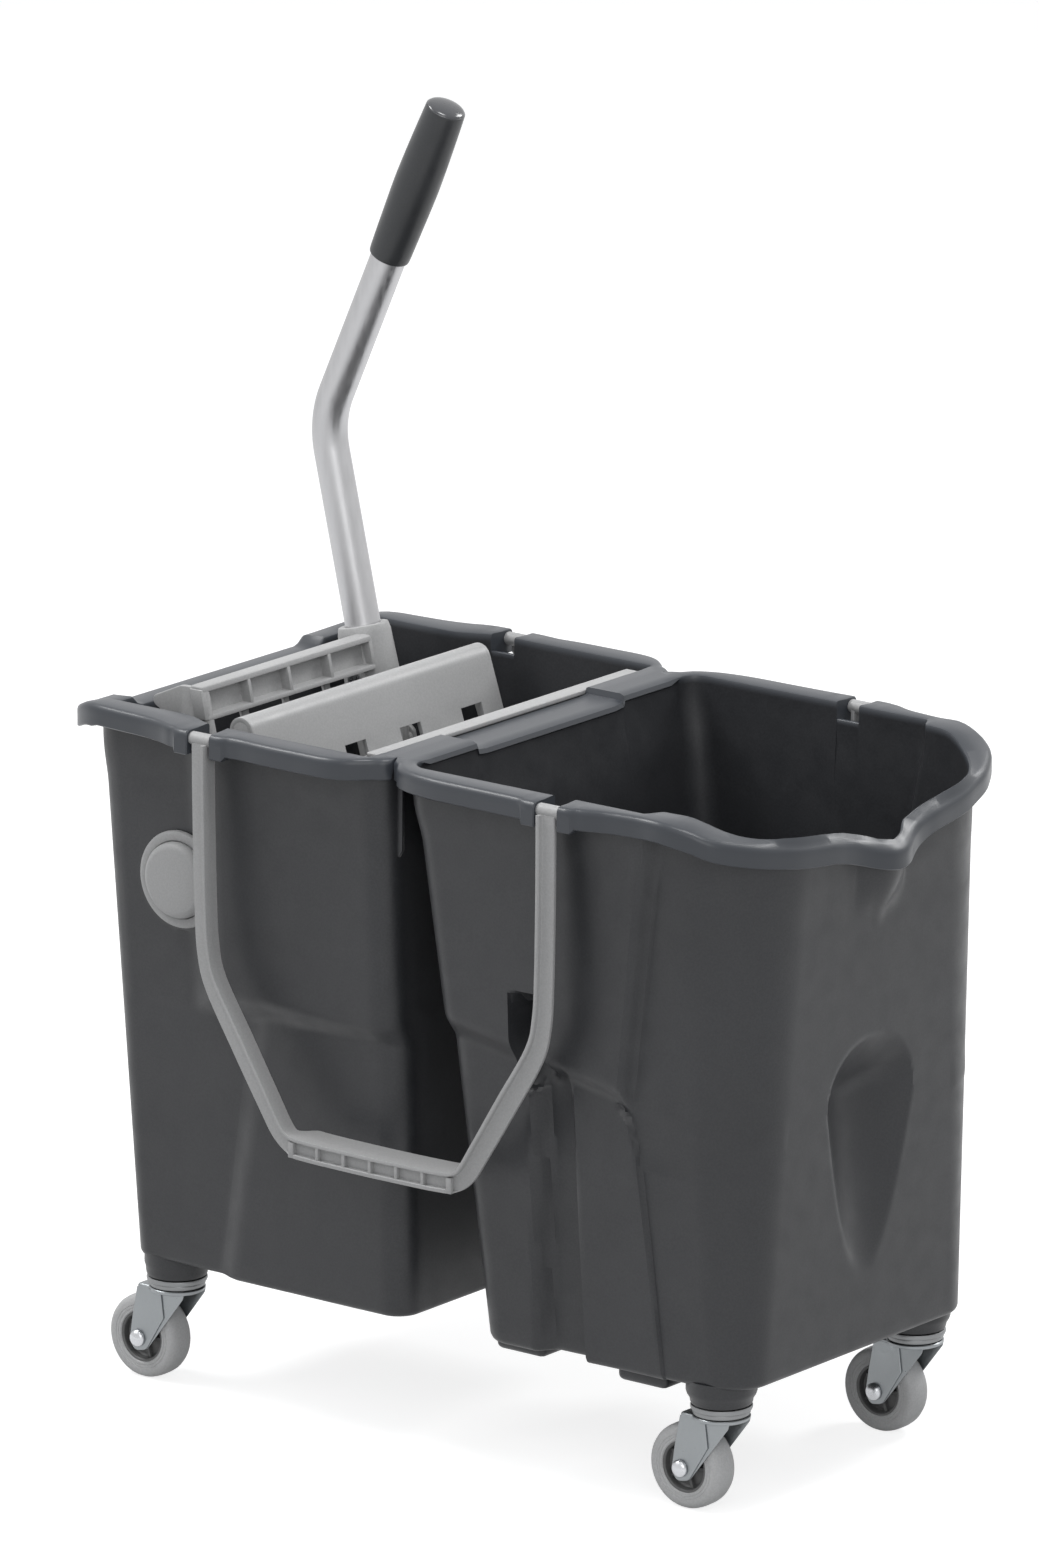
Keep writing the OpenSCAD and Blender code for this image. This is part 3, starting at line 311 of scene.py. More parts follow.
def tubPlastic():  # the rim is polished, and its colour is painted lighter and bluer than the grained walls as painted light from above
    material = mouldedPlastic("tubPlastic", tubFinishAndPaintedRimLight["wall"], 0.42, 0.35, 0.08, specular=0.42, speckle=0.12)
    tree = material.node_tree
    shader = tree.nodes["Principled BSDF"]
    # painted light: where the mark rim is set, the colour turns lighter and bluer for light from above; the
    # roughness below is the rim's real polish
    blendByMark(tree, shader, "Base Color", "rim", tubFinishAndPaintedRimLight["rim"])
    blendByMark(tree, shader, "Roughness", "rim", (tubFinishAndPaintedRimLight["rimRoughness"],) * 3)
    return material


metalTexture = {"lineScale": 320, "lineStrength": 0.15, "lineDepth": 0.00005, "darkShare": 0.93}


def brushedMetal(name, colour, roughness, stretch):
    material, tree, shader = newMaterial(name, colour, roughness, metallic=1.0)
    lines = objectNoise(tree, metalTexture["lineScale"], 4, stretch)
    low, high = roughness - 0.08, roughness + 0.12
    tree.links.new(ramp(tree, lines, [(0.25, (low,) * 3), (0.75, (high,) * 3)]), shader.inputs["Roughness"])
    darker = tuple(c * metalTexture["darkShare"] for c in colour)
    tree.links.new(ramp(tree, lines, [(0.3, darker), (0.7, colour)]), shader.inputs["Base Color"])
    addBump(tree, shader, lines, metalTexture["lineStrength"], metalTexture["lineDepth"])
    return material


materials = {
    "tub_plastic": tubPlastic(),
    "trim_plastic": mouldedPlastic("trimPlastic", (0.39, 0.39, 0.39), 0.45, 0.2, 0.04, specular=0.4),
    "wringer_plastic": mouldedPlastic("wringerPlastic", (0.39, 0.39, 0.39), 0.42, 0.2, 0.04, specular=0.4),
    "lever_aluminium": brushedMetal("leverAluminium", (0.48, 0.48, 0.49), 0.36, (1, 1, 0.06)),
    "grip_plastic": mouldedPlastic("gripPlastic", (0.04, 0.042, 0.045), 0.36, 0.15, 0.05, specular=0.4),
    "grip_gloss": mouldedPlastic("gripGloss", (0.05, 0.052, 0.058), 0.2, 0.03, 0.04, coat=0.35),
    "tyre_rubber": mouldedPlastic("tyreRubber", (0.56, 0.56, 0.56), 0.6, 0.3, 0.06, specular=0.3),
    "hub_plastic": mouldedPlastic("hubPlastic", (0.12, 0.12, 0.12), 0.5, 0.2, 0.05),
    "zinc_steel": brushedMetal("zincSteel", (0.27, 0.285, 0.295), 0.34, (1, 1, 1)),
    "dull_zinc": brushedMetal("dullZinc", (0.23, 0.235, 0.24), 0.4, (1, 1, 1)),
    "bright_steel": brushedMetal("brightSteel", (0.55, 0.56, 0.58), 0.28, (1, 1, 1)),
}
print("materials made")


# Measures that several pieces share

pivot = {"x": -202, "z": 394, "seatY": 151.1, "ringR": 36, "ringT": 4, "capR": 28.2, "capH": 6.5}
caster = {
    "left": -239, "right": 260, "y": 114.2, "trail": 25.5, "wheelR": 31.5, "hubR": 19, "tyreHalf": 11,
    "axleR": 4, "raceZ": 74, "raceR": 22, "forkZ": 73.6, "forkIn": 12.3, "forkT": 2, "forkHalf": 14.3,
}


# The twin tub: one closed skin of two pails that share a rim

tub = {
    "rimZ": 518, "baseZ": 98, "wall": 3.2,
    "endHalf": (154, 138.2),        # half width of the end zones at rim and base
    "bellyHalf": (167, 150),        # half width of the bulges
    "panelHalf": (154, 145),        # half width of the lower panels
    "ledgeHalf": 146,               # half width at the ledge under the bulges
    "skirt": 15.5, "lipSkirt": 17, "flange": 3, "edge": 4.2,
    "meetingX": -1, "meetingHalf": 158, "dividerHalf": 18, "dividerEdge": 4.6,
    "saddleHalf": 84, "saddleDepth": 5.5,
    "lipDipHalf": 101, "lipDipZ": 500.5,
    "notchBottom": 505, "pinOffset": 157.5, "handleX": 1.5, "notchHalf": 10, "earLength": 11.5,
    "earBlend": 2.5, "bottomRows": 5, "innerRows": 26, "cornerEdge": 5, "rimBlend": 40,
    "ledgeRun": 15, "ledgeRise": 23, "cornerStepFade": (280, 300), "guideTop": 505,
    "columnStep": 3.8, "fineStep": 1.5, "gapHalf": 144,
    "gapColumns": ((0, 82, 9), (82, 83.4, 1), (83.4, 84.2, 1), (84.2, 86, 1), (86, 144, 8)),
}
wringerPail = {
    "sign": -1, "length": 284, "endDraft": 23, "cornerR": 22, "baseR": 15,
    "gap": 3.5, "gapDraft": 0, "gapR": 20, "cornerSteps": 10, "endSteps": 24,
    "bellyEnd": 196, "bellyDraft": 0, "bellyRun": 38, "crease": [(98, 170), (518, 90)], "creaseSoft": 11,
    "ledge": lambda s: 297.0, "rows": [(103, 14), (278, 28), (356, 24), (432, 12), (503, 0)],
    # Columns that follow a crease: place at the rim, above the ledge, below it and at the base
    "guides": [(90, 90, 90, 96), (134, 134, 132, 170), (158, 158, 158, 184), (196, 196, 196, 204)],
}
spoutPail = {
    "sign": 1, "length": 314, "endDraft": 18.5, "cornerR": 72, "baseR": 31,
    "gap": 13.6, "gapDraft": 53, "gapR": 20, "bellyEnd": 238, "bellyDraft": 60, "bellyRun": 9,
    "crease": [(98, 229.5), (243, 211.6), (262, 209), (285, 203), (297, 193)], "creaseSoft": 1.5,
    "panelEnd": 4.2, "panelFade": (120, 200), "fineSpan": (229, 238), "cornerSteps": 22, "endSteps": 44,
    "ledge": lambda s: 322 - (s - 13.6) * 0.158, "rows": [(103, 6), (150, 78), (372, 20), (503, 0)],
    "guides": [(103, 103, 106, 117), (133, 133, 134, 140), (151, 151, 151, 160), (229, 203, 198, 222),
               (238, 212, 208, 229.5)],
}
drainChannel = {"left": 117, "rightLow": 160, "rightHigh": 151.3, "height": 204, "depth": 13,
                "fade": (300, 318)}
sidePocket = {"left": 104.5, "right": 134, "lowZ": 288, "topZ": 360, "topLean": 0.1, "floorHalf": 136}
pourSpout = {"centre": 297.1, "tipZ": 374, "coneR": 27, "coneHeight": 100, "half": 25.4, "flatReach": 313,
             "blendHalf": 62}


def wallDrop(z):
    return (tub["rimZ"] - z) / (tub["rimZ"] - tub["baseZ"])


def between(pair, z):
    return mix(pair[0], pair[1], wallDrop(z))


def bulge(pail, s, z):  # how far the side stands out of the end zone
    end = between(tub["endHalf"], z)
    bellyEnd = pail["bellyEnd"] - pail["bellyDraft"] * wallDrop(z)
    share = min(max((bellyEnd - s) / pail["bellyRun"], 0), 1)
    panel = between(tub["panelHalf"], z) - end
    if pail["sign"] > 0:  # the spout pail's panel changes toward its end
        panel = mix(panel, pail["panelEnd"], ease(*pail["panelFade"], s))
    crease = follow(pail["crease"], z)
    low = panel * (1 - ease(crease - pail["creaseSoft"], crease + pail["creaseSoft"], s))
    belly = (between(tub["bellyHalf"], z) - end) * ease(-0.08, 1.08, share)
    ledge = tub["ledgeHalf"] - end + (z - pail["ledge"](s)) * tub["ledgeRun"] / tub["ledgeRise"]
    out = softMax(low, softMin(belly, ledge, 2.6), 1.6)
    if pail["sign"] < 0:
        return pivotSeat(s, z, out, end)
    return channel(s, z, out, end)


def pivotSeat(s, z, out, end):  # flat round seat of the cover plate
    distance = math.hypot(s + pivot["x"], z - pivot["z"])
    return mix(pivot["seatY"] - end, out, ease(pivot["ringR"] - 0.5, pivot["ringR"] + 2.5, distance))


def channel(s, z, out, end):  # drain channel below and pocket above, pressed into the side
    shape, left = drainChannel, drainChannel["left"]
    right = mix(shape["rightLow"], shape["rightHigh"], (z - tub["baseZ"]) / shape["height"])
    inside = ease(left - 3, left + 9, s) * (1 - ease(right - 2, right + 1.5, s))
    depth = shape["depth"] * inside * (1 - ease(*shape["fade"], z))
    shape, left, right = sidePocket, sidePocket["left"], sidePocket["right"]
    above = ease(shape["topZ"], shape["topZ"] + 6.5, z - (s - 106) * shape["topLean"])
    inside = ease(left, left + 5, s) * (1 - ease(right - 3.5, right, s)) * (1 - above)
    pocketDepth = max(out + end - shape["floorHalf"], 0) * inside * ease(shape["lowZ"], shape["lowZ"] + 12, z)
    return out - max(depth, pocketDepth)


def cornerRadius(pail, z):
    return between((pail["cornerR"], pail["baseR"]), z)


def endReach(pail, y, z):
    end = pail["length"] - pail["endDraft"] * wallDrop(z)
    if pail["sign"] < 0:
        return end
    radius = pourSpout["coneR"] * (z - pourSpout["tipZ"]) / pourSpout["coneHeight"]
    if radius > abs(y):
        cone = pourSpout["centre"] + math.sqrt(radius * radius - y * y)
        end = softMax(end, cone, mix(2.5, 8, ease(450, 485, z)))
    return end - handRecess(y, z)


handGrip = {"tipZ": 158, "slope": 0.195, "scoopR": 50, "archZ": 285, "archR": 50, "ceiling": 1.7, "soft": 7}


def handRecess(y, z):  # a tilted scoop under a slanting ceiling with an arched edge
    scoop = handGrip["slope"] * (z - handGrip["tipZ"]) - y * y / (2 * handGrip["scoopR"])
    arch = handGrip["archZ"] + math.sqrt(max(handGrip["archR"] ** 2 - y * y, 0)) - z
    if abs(y) > handGrip["archR"]:
        arch = handGrip["archZ"] - z - (abs(y) - handGrip["archR"]) * 6
    depth = softMin(scoop, arch / handGrip["ceiling"], handGrip["soft"])
    return softMax(depth, 0, 1.2)


def sideColumns(pail):
    end = pail["length"] - pail["cornerR"]
    centre = tub["handleX"] * pail["sign"] + tub["pinOffset"]
    notchLow, notchHigh = centre - tub["notchHalf"], centre + tub["notchHalf"]
    low, high = notchLow - tub["earLength"], notchHigh + tub["earLength"]
    blend, bevel = tub["earBlend"], 0.9
    marks = [(pail["gap"] + pail["gapR"], "plain"), (low - blend, "plain"), (low, "ear"),
             (notchLow - bevel, "ear"), (notchLow, "earEdge"), (notchLow, "notch"), (notchHigh, "notch"),
             (notchHigh, "earEdge"), (notchHigh + bevel, "ear"), (high, "ear"), (high + blend, "plain"),
             (end, "plain")]
    if pail["sign"] > 0:  # finer columns where the bulge ends
        fineStart, fineEnd = pail["fineSpan"]
        marks[-1:] = [(fineStart, "plain"), (fineEnd, "fine"), (end, "plain")]
    columns = []
    for (s0, kind0), (s1, kind1) in zip(marks, marks[1:]):
        columns.append((s0, "plain" if kind0 == "fine" else kind0))
        steps = max(int((s1 - s0) / tub["fineStep" if kind1 == "fine" else "columnStep"]), 1)
        kind = kind0 if kind0 == kind1 or kind0 in ("plain", "fine") else kind1
        for k in range(1, steps):
            columns.append((mix(s0, s1, k / steps), "plain" if kind == "fine" else kind))
    columns.append((end, "plain"))
    return columns


def guideShift(pail, s, z):  # moves a column so that the creases run along the grid
    drop = wallDrop(z)
    gapEnd = pail["gap"] + pail["gapR"]
    rim = [0, gapEnd] + [g[0] for g in pail["guides"]] + [pail["length"] - pail["cornerR"]]
    here = [0, gapEnd + pail["gapDraft"] * drop]
    ledge = pail["ledge"](170)
    for atRim, above, below, atBase in pail["guides"]:
        here.append(follow([(tub["baseZ"], atBase), (ledge - 4, below), (ledge + 20, above),
                            (tub["guideTop"], atRim)], z))
    here.append(pail["length"] - cornerRadius(pail, z) - pail["endDraft"] * drop)
    return follow(list(zip(rim, here)), s)


def pailColumns(pail):  # half a pail, from the middle of the gap wall to the middle of the end wall
    columns = []
    for y0, y1, steps in tub["gapColumns"]:
        columns += [("gap", mix(y0, y1, k / steps) / tub["gapHalf"], "plain") for k in range(steps)]
    columns += [("gapCorner", k / 9, "plain") for k in range(9)]
    columns += [("side", s, kind) for s, kind in sideColumns(pail)]
    steps = pail["cornerSteps"]
    columns += [("corner", k / steps, "plain") for k in range(1, steps)]
    steps = pail["endSteps"]
    columns += [("end", k / steps, "plain") for k in range(steps + 1)]
    return columns


def wallPoint(pail, column, z, inset):
    # (distance from the divider, half width) of the wall, and its outward direction
    zone, value = column[:2]
    drop = wallDrop(z)
    gap = pail["gap"] + pail["gapDraft"] * drop
    gapR = pail["gapR"]
    cornerR = cornerRadius(pail, z)
    cornerS = pail["length"] - pail["endDraft"] * drop - cornerR
    end = between(tub["endHalf"], z)
    if zone in ("gap", "gapCorner"):
        half = end + bulge(pail, gap + gapR, z)
        if zone == "gap":
            return gap + inset, (half - gapR) * value, Vector((-1, 0))
        turn = value * math.pi / 2
        out = Vector((-math.cos(turn), math.sin(turn)))
        reach = gapR - inset
        return gap + gapR + out.x * reach, half - gapR + out.y * reach, out
    if zone == "side":
        s = guideShift(pail, value, z)
        return s, end + bulge(pail, s, z) - inset, Vector((0, 1))
    if zone == "corner":
        turn = value * math.pi / 2
        out = Vector((math.sin(turn), math.cos(turn)))
        reach = cornerR - inset + cornerStep(pail, cornerS + turn * cornerR, z)
        return cornerS + out.x * reach, end - cornerR + out.y * reach, out
    y = (end - cornerR) * (1 - value)
    return endReach(pail, y, z) - inset, y, Vector((1, 0))


def cornerStep(pail, s, z):
    return bulge(pail, s, z) * (1 - ease(*tub["cornerStepFade"], z))


def rimLine(level, falling):  # outer edge of the rim from the meeting of the pails to the end's middle
    points = [(u, y, tub["rimZ"]) for u, y in level] + falling
    meeting = [Vector((tub["meetingX"], y, tub["rimZ"])) for y in (0, tub["meetingHalf"])]
    return meeting + smoothLine(points, 4)


wringerRim = rimLine(
    [(-3, 163), (-7.5, 166.3), (-12, 168.2), (-17.5, 174.5), (-29, 183), (-44, 186.8), (-70, 187),
     (-99, 186.8), (-119, 185.3), (-131, 186.2), (-156, 186.5), (-182, 186), (-197, 181), (-216, 177),
     (-240, 175), (-264, 172.8)],
    [(-278, 168, 516.5), (-290, 160.5, 512), (-298, 150, 509), (-302.5, 135, 507), (-303, 110, 506.5),
     (-303, 0, 506.5)])
spoutRim = rimLine(
    [(7, 163), (13.6, 172), (26.6, 179), (43, 183), (63, 185), (99, 185.5), (132, 186.3), (160, 186.8),
     (186, 186), (202, 180.5), (218, 178), (234, 176.6), (249, 177.6)],
    [(260.5, 176, 516), (274, 171, 512.6), (283.5, 166, 508.5), (291, 159, 505.5), (299, 146, 502),
     (306, 132, 499), (311, 115, 496), (315, 98, 493), (317, 77, 490.5), (318.3, 60, 489), (318.9, 46, 486),
     (320.4, 34, 482.5), (323.4, 24.5, 479.5), (327.6, 15.5, 477), (330.3, 7.5, 475.6), (331, 0, 475),
     (330.3, -7.5, 475.6)])
innerTop = {  # height of the rim's inner edge along the pails, and across the spout's end
    "wringer": [(-303, 506), (-287, 511), (-276, 516.5), (-266, 518)],
    "spout": [(255, 518), (262, 516.6), (270, 513.5), (280, 508.5), (288.5, 505), (296.5, 502.6),
              (304.5, 501)],
    "spoutEnd": [(0, 480), (14, 483), (20, 485.5), (28, 488), (43, 492), (54, 494), (71, 496.5), (91, 499),
                 (107, 501)],
}


def meetRim(rim, origin, out):  # distance and height where a ray from the wall meets the rim's outline
    best = None
    side = Vector((-out.y, out.x))
    for a, b in zip(rim, rim[1:]):
        da = (a.xy - origin).dot(side)
        db = (b.xy - origin).dot(side)
        if da * db > 0 or da == db:
            continue
        t = da / (da - db)
        reach = (a.xy.lerp(b.xy, t) - origin).dot(out)
        if reach > -15 and (best is None or reach < best[0]):
            best = (reach, mix(a.z, b.z, t))
    return best


def innerTopZ(pail, u, y):
    if pail["sign"] < 0:
        return follow(innerTop["wringer"], u)
    if u > 304 and abs(y) < 107:
        return follow(innerTop["spoutEnd"], abs(y))
    return follow(innerTop["spout"], u)


def spoutTurn(u, y):  # outward direction round the pour spout, blending into the flat end
    centre, half = pourSpout["centre"], pourSpout["half"]
    side = math.atan2(half, pourSpout["flatReach"] - centre)
    turn = math.atan2(y, u - centre) if y < half else side * (1 - ease(half, pourSpout["blendHalf"], y))
    return Vector((math.cos(turn), math.sin(turn)))


# Sections across the rim: (distance out of the wall, height), from the outer wall to the inner wall

def notchSection(zOut, skirt):  # level bottom of the slot for a handle's pin
    wall, bottom = tub["wall"], tub["notchBottom"]
    outer = [(0, zOut - skirt - 4), (0, bottom - 1.6)] + [(0, bottom - 1.2)] * 5 + [(0, bottom - 0.8)] * 2
    outer += [(-0.1, bottom - 0.4), (-0.4, bottom - 0.1), (-0.8, bottom), (-wall / 2, bottom)]
    return outer + [(-wall + 0.8, bottom), (-wall + 0.3, bottom - 0.3), (-wall, bottom - 0.8),
                    (-wall, bottom - 4)]


def roundEdge(reach, z, edge, zLast):
    return [(reach, z - edge), (reach - edge * 0.134, z - edge / 2), (reach - edge / 2, z - edge * 0.134),
            (reach - edge, zLast)]


def earSection(d, zOut, skirt, edge, trim):  # the thicker rim beside a notch
    reach = d + 1.6 - trim
    zEar = zOut - 0.4 - trim * 0.4
    low = zOut - (skirt + 3 - trim * 0.4)
    outer = [(0, zOut - skirt - 4), (0, low), (reach * 0.4, low), (reach * 0.7, low), (reach - 1.4, low),
             (reach - 0.5, low), (reach, low + 0.7), (reach, zOut - 8)]
    return outer + roundEdge(reach, zEar, edge, zEar) + [(mix(reach, -tub["wall"], 0.5), zEar)]


def flangeSection(d, zOut):  # a thin flange where the pails meet
    low = zOut - tub["flange"]
    outer = [(0, low - 2), (0, low), (d * 0.5, low)] + [(d, low)] * 4
    return outer + [(d, zOut)] * 5 + [(mix(d, -tub["wall"], 0.5), zOut)]


def skirtSection(d, zOut, zIn, skirt, edge, over):  # the rim's turned-down skirt
    wall, flange = tub["wall"], tub["flange"]
    slope = (zIn - zOut) / max(d + wall, 1)
    zWall = zOut + slope * d
    low = zOut - skirt
    outer = [(0, low - 1), (0, zWall - flange), (d - flange, zOut + slope * flange - flange),
             (d - flange, low + 0.8), (d - flange + 0.6, low), (d - 0.8, low), (d, low + 0.8), (d, zOut - 8)]
    outer += roundEdge(d, zOut, edge, zOut + slope * edge)
    return outer + [(mix(d, -wall - over, 0.5), mix(zOut, zIn, 0.5))]


def innerEdge(turn, zIn, over, land):
    low = turn + 1.2 if over > 1 else 6
    if over > 1 and turn == 2:
        low = tub["flange"] + 0.4
    turn = min(turn, land * 0.25)
    reach = -tub["wall"] - over
    return [(reach + turn, zIn), (reach + turn * 0.3, zIn - turn * 0.3), (reach, zIn - turn),
            (-tub["wall"], zIn - low)]


def rimProfile(pail, rim, column):  # place and outward direction of the wall, and its rim's section
    zone, kind = column[0], column[2]
    sign, wall, z = pail["sign"], tub["wall"], tub["rimZ"]
    for attempt in range(4):  # the wall is taken at the rim's own height there
        s, y, out = wallPoint(pail, column, z, 0)
        if sign > 0 and zone == "end":
            out = spoutTurn(s, y)
        ray = Vector((out.x * sign, out.y))
        d, zOut = meetRim(rim, Vector((s * sign, y)), ray)
        z = zOut
    innerS = s - out.x * wall
    zIn = max(innerTopZ(pail, innerS * sign, y - out.y * wall), zOut)
    skirt, over = tub["skirt"], 0
    if sign < 0 and zone in ("end", "corner"):
        skirt = tub["lipSkirt"]
        zIn = min(zIn, zOut + 1.5)
        if zone == "end":
            dip = 1 - ease(tub["lipDipHalf"], tub["lipDipHalf"] + 9, y)
            zIn = mix(zIn, min(zIn, tub["lipDipZ"]), dip)
            zOut = mix(zOut, min(zOut, tub["lipDipZ"]), dip)
    if zone in ("gap", "gapCorner") and innerS < tub["dividerHalf"] and out.x < -0.02:
        over = (tub["dividerHalf"] - innerS) / -out.x
        if sign > 0:
            over = min(over, 1.2 / -out.x)
    if zone == "gap":
        low = tub["saddleDepth"] * (1 - ease(tub["saddleHalf"] - 0.9, tub["saddleHalf"] + 0.9, y))
        zIn -= low
        zOut -= low
    atMeeting = zone == "gap" or abs(s * sign + d * ray.x - tub["meetingX"]) < 0.01
    if atMeeting:
        skirt = tub["flange"]
    land = d + wall + over
    edge = min(tub["edge"], land * 0.5)
    if kind == "notch":
        return s, y, out, notchSection(zOut, skirt)
    if kind in ("ear", "earEdge"):
        outer = earSection(d, zOut, skirt, edge, 0.9 if kind == "earEdge" else 0)
    elif atMeeting:
        outer = flangeSection(d, zOut)
    else:
        outer = skirtSection(d, zOut, zIn, skirt, edge, over)
    turn = tub["dividerEdge"] if zone == "gap" and sign > 0 else 2
    return s, y, out, outer + innerEdge(turn, zIn, over, land)


def rowHeights(pail):  # shares of the wall's height, closer where the side has a ledge or a seat
    marks = pail["rows"]
    heights = []
    for (z, steps), following in zip(marks, marks[1:]):
        heights += [mix(z, following[0], k / steps) for k in range(steps)]
    low, high = marks[0][0], marks[-1][0]
    return [(z - low) / (high - low) for z in heights] + [1]


def pailSkin(bm, pail, rim):
    half = pailColumns(pail)
    sections = [rimProfile(pail, rim, column) for column in half]
    ring = [(i, 1) for i in range(len(half))] + [(i, -1) for i in range(len(half) - 2, 0, -1)]
    heights = rowHeights(pail)
    baseZ, wall, radius = tub["baseZ"], tub["wall"], tub["cornerEdge"]
    bottomRows, innerRows = tub["bottomRows"], tub["innerRows"]
    rimStart = bottomRows + len(heights) - 1
    rimEnd = rimStart + len(sections[0][3])

    def wallRow(column, section, share, inset, bottom):
        top = section[3][0][1] if inset == 0 else section[3][-1][1]
        z = mix(bottom, top, share)
        s, y, out = wallPoint(pail, column, z, inset)
        blend = ease(top - tub["rimBlend"], top, z)
        return mix(s, section[0] - out.x * inset, blend), mix(y, section[1] - out.y * inset, blend), z

    def place(index, row):
        number, side = ring[index % len(ring)]
        column, section = half[number], sections[number]
        if row < bottomRows:  # rounded bottom edge
            turn = (bottomRows - row) / bottomRows * math.pi / 2
            s, y, z = wallRow(column, section, 0, radius * (1 - math.cos(turn)), baseZ)
            z = baseZ + radius * (1 - math.sin(turn))
        elif row < rimStart:
            s, y, z = wallRow(column, section, heights[row - bottomRows], 0, baseZ + radius)
        elif row < rimEnd:
            reach, z = section[3][row - rimStart]
            s = section[0] + section[2].x * reach
            y = section[1] + section[2].y * reach
        else:
            share = 1 - (row - rimEnd + 1) / innerRows
            s, y, z = wallRow(column, section, max(share, 0), wall, baseZ + wall)
        return Vector((s * pail["sign"], y * side, z))

    # marks the rim rows for their polish and for their painted lighter, bluer colour of light from above
    def onRimPolishAndPaintedLight(row):
        return float(rimStart < row < rimEnd - 1)

    gridSurface(bm, len(ring), rimEnd + innerRows - 1, place, bm.verts.layers.float["rim"], onRimPolishAndPaintedLight)


def inDivider(face):  # faces of both pails that meet inside the shared rim
    return all(abs(v.co.x - tub["meetingX"]) < 0.05 and abs(v.co.y) < tub["meetingHalf"] + 0.5
               for v in face.verts)


def makeTub():
    bm = bmesh.new()
    # mark of the rim rows: their polish, and their painted lighter, bluer colour of light from above
    bm.verts.layers.float.new("rim")
    pailSkin(bm, wringerPail, wringerRim)
    pailSkin(bm, spoutPail, spoutRim)
    bmesh.ops.remove_doubles(bm, verts=bm.verts, dist=0.03)
    bmesh.ops.delete(bm, geom=[f for f in bm.faces if inDivider(f)], context="FACES")
    bmesh.ops.holes_fill(bm, edges=[e for e in bm.edges if e.is_boundary], sides=0)
    joinMesh(bm, tubFittings())
    finishPiece(bm, "twin_tub_moulding", "trolley", "tub_plastic", ("twin_tub",))


def joinMesh(bm, other):  # adds one bmesh to another
    carrier = bpy.data.meshes.new("carrier")
    other.to_mesh(carrier)
    other.free()
    bm.from_mesh(carrier)
    bpy.data.meshes.remove(carrier)


fittings = {
    "bossTops": (23.8, 25.5), "footLength": 44,
    "feet": ((73, 100, 136, 91), (181, 100, 134, 88)),      # place, near and far side, and lower end
    "endRib": [(-8, 508), (-8, 447), (-3, 443), (0.2, 449), (0.6, 508)],
    "gusset": [(-4.5, 514), (-4.5, 430), (21, 458), (15.6, 514)],
    "bearing": [(6, 0), (13, 0), (14, 1), (14, 24.4), (6, 24.4), (6, 0)],
}


def tubFittings():  # bosses of the casters, feet, ribs, bearings and the seat of the sieve
    bm = bmesh.new()
    for x, top in zip((caster["left"], caster["right"]), fittings["bossTops"]):
        boss = [(0, 82), (20.2, 82), (21.8, 82.6), (22.4, 84), (22.8, 86.5), (top - 0.8, 89.5), (top, 92),
                (top, 101), (0, 101)]
        for side in (-1, 1):
            revolve(bm, boss, Matrix.Translation((x, side * caster["y"], 0)), 56)
    for side in (-1, 1):
        for x, near, far, z in fittings["feet"]:
            low, high = spanAt(side, near, far)
            block(bm, (x, low, z), (x + fittings["footLength"], high, 101), 5, 4)
        slab(bm, fittings["endRib"], *spanAt(side, 146.5, 149.5), standing, 0.8)
        slab(bm, fittings["gusset"], *spanAt(side, 92, 95), standing, 0.5)
        revolve(bm, fittings["bearing"], facing(pivot["x"], side * 126, pivot["z"], side))
        low, high = spanAt(side, 143.1, 147.6)
        block(bm, (pivot["x"] - 34, low, pivot["z"] - 36), (pivot["x"] + 34, high, pivot["z"] + 36), 4)
    block(bm, (-28, -142, 506.6), (-4.5, 142, 512.2), 0.8)
    return bm


makeTub()

# Swing handles: an L section swept down one arm, along the grip and up the other arm

handleShape = {
    "middleX": 1.5, "pinX": 157.5, "pinY": 181.3, "pinZ": 511.2, "pinR": 4.5, "pinLength": 28,
    "barrelR": 4.9, "barrelLength": 19.4, "frontY": 190, "web": 3.1, "webDepth": 14, "gripDepth": 28,
    "plateFront": 3.9, "plateBack": 7, "gripHalf": 72, "gripZ": 217, "gripHeight": 15, "pockets": 6,
    # Outer and inner edge of half a handle, from the pin to the middle of the grip
    "outer": [(164.4, 509), (164.2, 470), (163.6, 425), (162.6, 385), (160.5, 354), (153, 328), (129, 288),
              (104, 248.5), (91, 229.5), (77, 219.6), (60, 217.7), (30, 217.2), (0, 217)],
    "inner": [(150.4, 509), (150.3, 470), (149.8, 427), (149, 390), (147.3, 362), (141, 338), (116, 297.5),
              (91.5, 257.5), (80.5, 240), (73.5, 234.4), (60, 232.8), (30, 232.2), (0, 232)],
}


def handleRing(outer, inner, middle):
    shape = handleShape
    gripShare = 1 - ease(shape["gripHalf"] - 5, shape["gripHalf"] + 7, middle)
    across = inner - outer
    width = across.length
    across = across.normalized()
    t = shape["web"]
    depth = mix(shape["webDepth"], shape["gripDepth"], gripShare)
    front, back = shape["plateFront"], shape["plateBack"]
    lip = front * (1 - gripShare)
    lipIn = t if gripShare > 0.5 else 1.2
    section = [(0, lip + 0.5), (0.5, lip), (lipIn - 0.3, lip), (lipIn, min(lip + 0.4, front)),
               (lipIn + 0.2, front), (width * 0.5, front), (width - t - 1.1, front),
               (width - t - 0.3, front - 0.4), (width - t, front - 1.3), (width - t, 0.8),
               (width - t + 0.7, 0), (width - 0.9, 0), (width - 0.25, 0.25), (width, 0.9),
               (width, depth * 0.5), (width, depth - 0.7), (width - 0.7, depth), (width - t + 0.7, depth),
               (width - t, depth - 0.7), (width - t, back + 1), (width - t - 1, back), (width * 0.5, back),
               (0.6, back), (0, back - 0.6)]
    return [(outer + across * a, b) for a, b in section]


